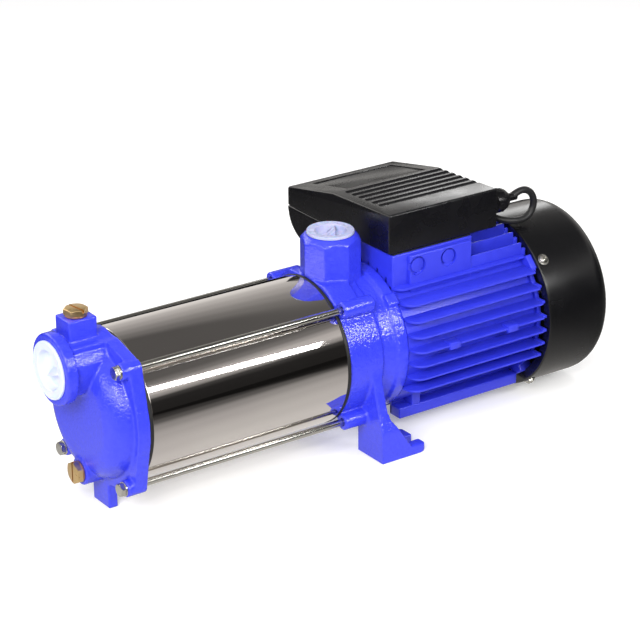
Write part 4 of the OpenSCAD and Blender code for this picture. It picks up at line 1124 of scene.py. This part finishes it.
@dataclass
class MotorShell:
    """Finned motor housing with its pad, its rails and its cast details.

    Fin is a fin's thickness at its root and its tip, and roots are those of level and of upright
    fins. Short fin is the level, root and tip of the lowest level one, lower fin the root and tip
    of those underneath, and late the place where the outermost upright one starts.
    """

    paints: Paintbox
    front: float = 11.0
    length: float = 132.0
    tube: float = 62.0
    bore: float = 55.5
    fin_reach: float = 75.0
    fin: Pair = (3.4, 1.7)
    roots: Pair = (45.0, 40.0)
    short_fin: Triple = (51.0, 34.0, 46.6)
    lower_fin: Pair = (50.0, 63.5)
    late: float = 18.0
    corner: float = 10.0
    pad_half: float = 38.5
    pad_low: float = 42.0
    pad_top: float = 79.5
    pad_len: float = 81.5
    pad_steps: Triple = (15.0, 4.0, 2.0)
    pad_edge: float = 1.2
    rail_y: float = 39.5
    rail_low: float = 67.5
    rail_start: float = 7.0
    rail_wide: float = 14.0
    rail_high: float = 9.5
    rail_wall: float = 3.0
    recess: Pair = (8.0, 5.6)
    disc: Pair = (6.2, 1.6)
    recess_z: float = 67.75
    knob: Triple = (11.0, 9.8, 6.0)

    def fin_at(self, level: float, root: float, turn: float, tip: float, start: float = 0.0) -> Obj:
        """Models one tapered fin with a rounded front corner.

        Args:
            level: Distance of its middle plane from the shaft, across the fin.
            root: Distance of its root from the shaft, along the fin.
            turn: Degrees about the shaft, 0 for a fin that points up.
            tip: Distance of its tip from the shaft, along the fin.
            start: Distance of its front end from the housing's front.
        """
        thick, thin = self.fin
        outline = rounded(
            [(start, root), (start, tip, self.corner), (self.length, tip, 0.8), (self.length, root)], 7,
        )
        plate = drawn("fin", outline, thick)
        share = thin / thick
        height = (tip - root) * MM
        for vertex in plate.data.vertices:
            up = max(0.0, (vertex.co.y - root * MM) / height)
            vertex.co.z = (vertex.co.z - thick / 2 * MM) * (1 - up * (1 - share))
        bevelled(plate, 0.35, 2, 60)
        stand = Matrix(((1, 0, 0, self.front * MM), (0, 0, 1, level * MM), (0, 1, 0, 0), (0, 0, 0, 1)))
        return seat(seat(plate, stand), round_shaft(turn))

    def tip_at(self, level: float) -> float:
        """Returns how far a fin at this level reaches inside the circle over the tips."""
        return math.sqrt(self.fin_reach**2 - (abs(level) + self.fin[1] / 2) ** 2)

    def fins(self) -> list[Obj]:
        """Models the level fins of both sides and the upright ones above and below."""
        parts = []
        level, root, tip = self.short_fin
        low_root, low_tip = self.lower_fin
        for side in (-1, 1):
            for z in FIN_LEVELS:
                parts.append(self.fin_at(-side * z, self.roots[0], -90 * side, self.tip_at(z)))
            parts.append(self.fin_at(-side * level, root, -90 * side, tip))
            for y, start in zip((*UPRIGHTS, OUTER_UPRIGHT), (0, 0, 0, self.late)):
                parts.append(self.fin_at(side * y, self.roots[1], 0, self.tip_at(y), start))
            for y in UPRIGHTS[:2]:
                parts.append(self.fin_at(side * y, low_root, 180, low_tip))
        return parts

    def pad(self) -> list[Obj]:
        """Models the box's seat with its proud side walls and their round recesses."""
        back, proud, lower = self.pad_steps
        low, high, end = SHAFT_Z + self.pad_low, SHAFT_Z + self.pad_top, self.front + self.pad_len
        half, wide, edge = self.pad_half, self.pad_half + proud, self.pad_edge
        parts = [
            brick("pad", (self.front, -half, low), (end, half, high), edge, 3),
            brick("step", (self.front + back, -wide, low), (end - 3, wide, high - lower), edge, 3),
        ]
        tools, z = [], SHAFT_Z + self.recess_z
        for share in (0.17, 0.41):
            x = self.front + share * self.length
            for y in (-wide, wide):
                outward = y - self.recess[1] / 2
                inward = y - math.copysign(2.1, y) - self.disc[1] / 2
                tools.append(seat(rod("recess", *self.recess), placing((x, outward, z), Run.FAR)))
                disc = seat(rod("disc", *self.disc), placing((x + 0.9, inward, z), Run.FAR))
                parts.append(bevelled(disc, 0.4))
        combined(parts[1], tools)
        return parts

    def rails(self) -> list[Obj]:
        """Models the two rails under the motor with their walls and front ribs."""
        start, end = self.front + self.rail_start, self.front + self.length
        low, top = SHAFT_Z - self.rail_low, SHAFT_Z - 0.7 * self.tube
        parts = []
        for side in (-1, 1):
            inner = self.rail_y - self.rail_wide
            near, far = sorted((side * self.rail_y, side * inner))
            a, b = sorted((side * inner, side * (inner + self.rail_wall)))
            parts += [
                brick("ledge", (start, near, low), (end, far, low + self.rail_high), 1.0, 3),
                brick("rib", (start + 13, near + 0.3, low + 8.7), (start + 22, far - 0.3, top), 1.2, 3),
                brick("wall", (start, a, low + 1), (end, b, top), 0.6),
            ]
        return parts

    def knobs(self) -> list[Obj]:
        """Models the small cast blocks on the middle fin of each side."""
        tip, low = self.tip_at(FIN_LEVELS[3]) + 0.8, SHAFT_Z + 1.5
        length, deep, high = self.knob
        parts = []
        for side in (-1, 1):
            for share in (0.24, 0.7):
                x = self.front + share * self.length
                a, b = sorted((side * tip, side * (tip - deep)))
                parts.append(brick("knob", (x, a, low), (x + length, b, low + high), 0.9))
        return parts

    def build(self) -> None:
        """Models the housing as one painted casting."""
        inner, outer, end = self.bore, self.tube, self.length
        corners = [(inner, 0), (outer, 0, 0.8), (outer, end, 0.8), (inner, end)]
        barrel = turned("barrel", closed(corners, 3), 160)
        seat(barrel, placing((self.front, 0, SHAFT_Z), Run.AFT))
        parts = [barrel, *self.fins(), *self.pad(), *self.rails(), *self.knobs()]
        shell = joined("motor_shell", parts)
        self.paints.show(shell, "motor_paint", ["motor_housing"], 32)


@dataclass
class RearShield:
    """Rear end shield, its rim toothed so that the fins seem to run on to the hood.

    Roots are those of level and of upright teeth. Lug is a lug's width and its length.
    """

    paints: Paintbox
    core: float = 65.0
    tip: float = 73.2
    hub: float = 26.0
    seat_r: float = 20.2
    tooth: float = 2.6
    roots: Pair = (44.0, 48.0)
    lug: Pair = (13.4, 13.5)
    lug_reach: Pair = (55.0, 70.6)

    def reach(self, off: float) -> float:
        """Returns how far out a tooth goes that is off the hood's middle by this much."""
        return math.sqrt(self.tip**2 - (abs(off) + self.tooth / 2) ** 2)

    def teeth(self, start: float, end: float) -> list[Obj]:
        """Models the teeth that carry the fins' lines on to the hood."""
        half, parts = self.tooth / 2, []
        level_root, upright_root = self.roots
        for side in (-1, 1):
            for z in FIN_LEVELS:
                a, b = sorted((side * level_root, side * self.reach(z + HOOD_DROP)))
                parts.append(block("tooth", (start, a, SHAFT_Z + z - half), (end, b, SHAFT_Z + z + half)))
            for y in (*UPRIGHTS, OUTER_UPRIGHT):
                top = SHAFT_Z - HOOD_DROP + self.reach(y)
                a, b = sorted((side * (y - half), side * (y + half)))
                parts.append(block("tooth", (start, a, SHAFT_Z + upright_root), (end, b, top)))
        return [bevelled(tooth, 0.5) for tooth in parts]

    def build(self) -> None:
        """Models the plate, its bearing seat, its teeth and the lugs for the hood's screws."""
        high = node_box("rear_end_shield")[1]
        face = node_box("motor_housing")[1].x
        thick = node_box("fan_cover")[0].x - face - 0.9
        deep = min(high.x - face - 4, 10.0)
        corners = [
            (self.seat_r, -7), (self.hub, -7, 0.8), (self.hub, 0, 2), (self.core, 0), (self.core, thick, 0.8),
            (self.hub, thick, 2.0), (self.hub - 1.5, deep), (self.seat_r, deep),
        ]
        plate = turned("plate", closed(corners, 3), 128)
        parts = [seat(plate, placing((face, 0, SHAFT_Z), Run.AFT)), *self.teeth(face + 0.05, face + thick)]
        width, span = self.lug
        low, top = self.lug_reach
        for angle in HOOD_SCREWS:
            lug = brick("lug", (face + 0.05, -width / 2, low), (face + span, width / 2, top), 1.2, 3)
            parts.append(seat(lug, round_shaft(angle)))
        self.paints.show(joined("shield_body", parts), "motor_paint", ["rear_end_shield"], 32)


@dataclass
class FanHood:
    """Pressed fan cover with its vented back, its screws, and its rolled front edge."""

    paints: Paintbox
    outer: float = 76.2
    wall: float = 1.8
    length: float = 70.0
    corner: float = 16.0
    slots: tuple[float, ...] = (14, 21.5, 29, 36.5, 44, 51.5)
    slot_width: float = 4.0
    spokes: int = 8
    spoke_half: float = 4.0
    spoke_turn: float = 41.5
    cross: Pair = (2.2, 0.45)
    cross_turn: float = 25.0

    def skin(self) -> Obj:
        """Spins the hood's wall from the rolled front edge to the outermost vent."""
        out, inner, end, inside = self.outer, self.outer - self.wall, self.length, self.length - self.wall
        edge = self.slots[-1] + self.slot_width
        corners = [
            (out - 9.0, 1.4), (out - 8.6, 0.3, 0.5), (out, 0.1, 1.4), (out, end, self.corner), (edge, end),
            (edge, inside), (inner, inside, self.corner - self.wall), (inner, 1.8, 0.5),
        ]
        return turned("skin", closed(corners, 9), 192)

    def back(self) -> list[Obj]:
        """Spins the bars between the vents and sets the spokes across them."""
        parts = []
        low, top = self.length - self.wall, self.length
        for a, b in zip([0.0] + [r + self.slot_width for r in self.slots[:-1]], self.slots):
            corners = [(a, low), (b, low), (b, top, 0.5), (a, top, 0.5 if a else 0.0)]
            parts.append(turned("bar", closed(corners, 2), 128))
        half = math.radians(self.spoke_half)
        first, last = self.slots[0] - 1, self.slots[-1] + self.slot_width + 1
        for k in range(self.spokes):
            outline = [
                (first, -first * half), (last, -last * half), (last, last * half), (first, first * half),
            ]
            spoke = drawn("spoke", outline, self.wall - 0.1)
            parts.append(seat(spoke, about("Z", 360 / self.spokes * k + self.spoke_turn) @ shift(z=low)))
        return parts

    def screws(self, middle: float) -> None:
        """Models the four pan head screws with their cross recess and washer."""
        heads = []
        x = sum(corner.x for corner in node_box("fan_cover_screws")) / 2
        a, b = self.cross
        for angle in HOOD_SCREWS:
            head = turned("head", rounded([(0, 0), (3.9, 0), (3.9, 1.3, 1.2), (1.6, 2.6, 1.0), (0, 2.7)]), 40)
            combined(head, [block("cross", (-u, -v, 1.4), (u, v, 4)) for u, v in ((a, b), (b, a))])
            seat(seat(head, about("Z", self.cross_turn)), shift(z=0.6))
            both = joined("screw", [head, ring("under", 5.0, 1.6, 0.8, 0.25)])
            heads.append(seat(both, shift(x, 0, middle) @ (about("X", angle) @ shift(z=self.outer))))
        self.paints.show(joined("hood_screws", heads), "zinc", ["fan_cover_screws"], 40)

    def build(self) -> None:
        """Models the hood and its screws."""
        front = node_box("fan_cover")[0].x
        middle = SHAFT_Z - HOOD_DROP
        hood = joined("fan_hood", [self.skin(), *self.back()])
        seat(hood, placing((front, 0, middle), Run.AFT))
        self.paints.show(hood, "cover_steel", ["fan_cover"], 35)
        self.screws(middle)


@dataclass
class TerminalBox:
    """Black terminal box with a grooved lid, the capacitor's bulge and the cable gland.

    Groove is its radius and depth. Panel is its distance from both ends and its span across.
    """

    paints: Paintbox
    near: float = -37.5
    far: float = 109.3
    crease: float = 42.0
    crease_drop: float = 4.0
    far_drop: float = 17.5
    grooves: int = 6
    groove_pitch: float = 9.3
    groove: Pair = (4.6, 1.7)
    groove_start: Pair = (9.0, 6.5)
    panel: tuple[float, ...] = (17.0, 12.0, 3.0, 56.0)
    wall: float = 2.4
    lead_y: float = -24.0
    lead_z: float = 98.0
    ribs: int = 12

    def section(self, inset: float, low: float, top: float) -> list[Pair]:
        """Returns the lid's cross-section, shrunk by an inset."""
        peak, near, far = top - inset, self.near + inset, self.far - inset
        return rounded([
            (near, low), (near, peak - 0.3, 1.6), (self.crease, peak - self.crease_drop),
            (far, peak - self.far_drop, 3.0), (far, low),
        ])

    def slab(self, outline: Sequence[Pair], start: float, length: float) -> Obj:
        """Draws an outline given across the shaft along the shaft's direction."""
        piece = drawn("slab", [(-y, z) for y, z in outline], length)
        turn = Matrix(((0, 0, 1, start * MM), (-1, 0, 0, 0), (0, 1, 0, 0), (0, 0, 0, 1)))
        return seat(piece, turn)

    def lid(self) -> None:
        """Models the lid with its broad grooves and its bare framed panel."""
        low, high = node_box("terminal_box_cover")
        lid = self.slab(self.section(0, low.z, high.z), low.x, high.x - low.x)
        bevelled(lid, 1.7, 4, 30)
        hollow = self.slab(
            self.section(self.wall, low.z - 3, high.z), low.x + self.wall, high.x - low.x - 2 * self.wall,
        )
        radius, depth = self.groove
        along, across = self.groove_start
        lean = math.atan(self.crease_drop / (self.crease - self.near))
        tools = [hollow]
        for k in range(self.grooves):
            y = self.crease - across - k * self.groove_pitch
            z = high.z - (y - self.near) * math.tan(lean)
            tool = rod("groove", radius, high.x - low.x, 40)
            seat(tool, placing((low.x + along, 0, radius - depth), Run.AFT))
            bevelled(tool, 2.4, 4, 60)
            tools.append(seat(tool, shift(0, y, z) @ Matrix.Rotation(-lean, 4, "X")))
        slope = math.atan((self.far_drop - self.crease_drop) / (self.far - self.crease))
        front, back, near, far = self.panel
        panel = brick("panel", (low.x + front, near, -1.0), (high.x - back, far, 3), 0.6)
        turn = shift(0, self.crease, high.z - self.crease_drop) @ Matrix.Rotation(-slope, 4, "X")
        tools.append(seat(panel, turn))
        combined(lid, tools)
        lid.name = "box_lid"
        self.paints.show(lid, "black_plastic", ["terminal_box_cover"], 28)

    def gland(self) -> None:
        """Models the gland's hexagon with its collar, and its ribbed dome nut."""
        end, z = node_box("terminal_box_cover")[1].x, SHAFT_Z + self.lead_z
        collar = rod("collar", 7.1, 12)
        stem = seat(rod("stem", 6.0, 6, 40), shift(z=-4))
        bore = seat(rod("bore", 3.5, 40, 32), shift(z=-10))
        gland = combined(bolt_head("hex", 20.0, 5.0), [collar, stem], "UNION")
        combined(gland, [bore])
        gland.name = "gland"
        seat(gland, placing((end, self.lead_y, z), Run.AFT))
        self.paints.show(gland, "black_plastic", ["cable_gland"], 30)
        corners = [
            (7.5, 0), (10.0, 0, 0.6), (10.0, 8, 1.4), (8.8, 11.5, 3.0), (5.4, 15.2, 1.2), (3.1, 15.2, 0.6),
            (3.1, 9), (7.5, 8),
        ]
        parts = [turned("nut", closed(corners, 5), 72)]
        for k in range(self.ribs):
            rib = brick("rib", (9.2, -0.8, 0.6), (10.45, 0.8, 8.2), 0.35)
            parts.append(seat(rib, about("Z", 360 / self.ribs * k)))
        nut = seat(joined("dome_nut", parts), placing((end + 5.4, self.lead_y, z), Run.AFT))
        self.paints.show(nut, "black_plastic", ["gland_nut"], 40)

    def build(self) -> None:
        """Models the lid, the gland and the box's lower part."""
        self.lid()
        self.gland()
        base = cast("box_base", "terminal_box_base", 1.1, 3)
        self.paints.show(base, "black_plastic", ["terminal_box_base"], 50)


@dataclass
class LeadEnd:
    """Mains plug at the lead's end and the tie that holds the coil."""

    paints: Paintbox
    pins: float = 9.5
    ribs: int = 5
    tie_turn: float = 60.0
    tie_off: Pair = (-107.0, -150.2)

    def build(self) -> None:
        """Models the plug with its ribbed strain relief, its two pins, and the tie."""
        corners = [
            (0, 0), (4.6, 0, 0.8), (5.6, 9), (7.6, 21.5), (12.6, 22.2, 1.2), (18.3, 36, 4.0), (18.3, 62, 1.6),
            (16.4, 62), (16.0, 61.4), (0, 61.4),
        ]
        parts = [turned("body", rounded(corners, 5))]
        for k in range(self.ribs):
            rib = ring("rib", 5.8 + 0.5 * k, 4.0, 1.6, 0.5)
            parts.append(seat(rib, shift(z=3.2 + 3.6 * k)))
        plug = seat(joined("mains_plug_body", parts), placing(PLUG_PLACE, Run.FORE))
        self.paints.show(plug, "black_plastic", ["mains_plug"], 40)
        pins = []
        for side in (-1, 1):
            pin = turned("pin", rounded([(0, 0), (2.4, 0), (2.4, 17.5), (1.4, 20, 0.9), (0, 20)]), 32)
            pins.append(seat(pin, shift(0, side * self.pins, 61)))
        steel = joined("mains_plug_pins", pins)
        self.paints.show(seat(steel, placing(PLUG_PLACE, Run.FORE)), "zinc")
        band = brick("coil_tie", (131.0, 148.0, 0.02), (151.0, 152.4, 13.3), 2.0, 4)
        combined(band, [block("hole", (131.8, 140, 0.6), (150.2, 160, 12.7))])
        seat(band, shift(*COIL_CENTRE) @ about("Z", self.tie_turn) @ shift(*self.tie_off))
        self.paints.show(band, "black_plastic")


def dress_nodes(paints: Paintbox) -> None:
    """Gives every node of the frame the finish of its slot in the record."""
    slots = {s["node"]: s["material_slot"] for s in frame["record"]["subparts"]}
    for name, obj in NODES.items():
        paints.dress(obj, slots[name])


def main() -> None:
    """Builds the scene piece by piece."""
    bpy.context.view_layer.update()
    Studio().build()
    paints = Paintbox()
    for piece in (
        SuctionEnd, SleeveStack, DischargeEnd, MotorShell, RearShield, FanHood, TerminalBox, LeadEnd, Cable
    ):
        piece(paints).build()
    dress_nodes(paints)


if __name__ == "__main__":
    main()
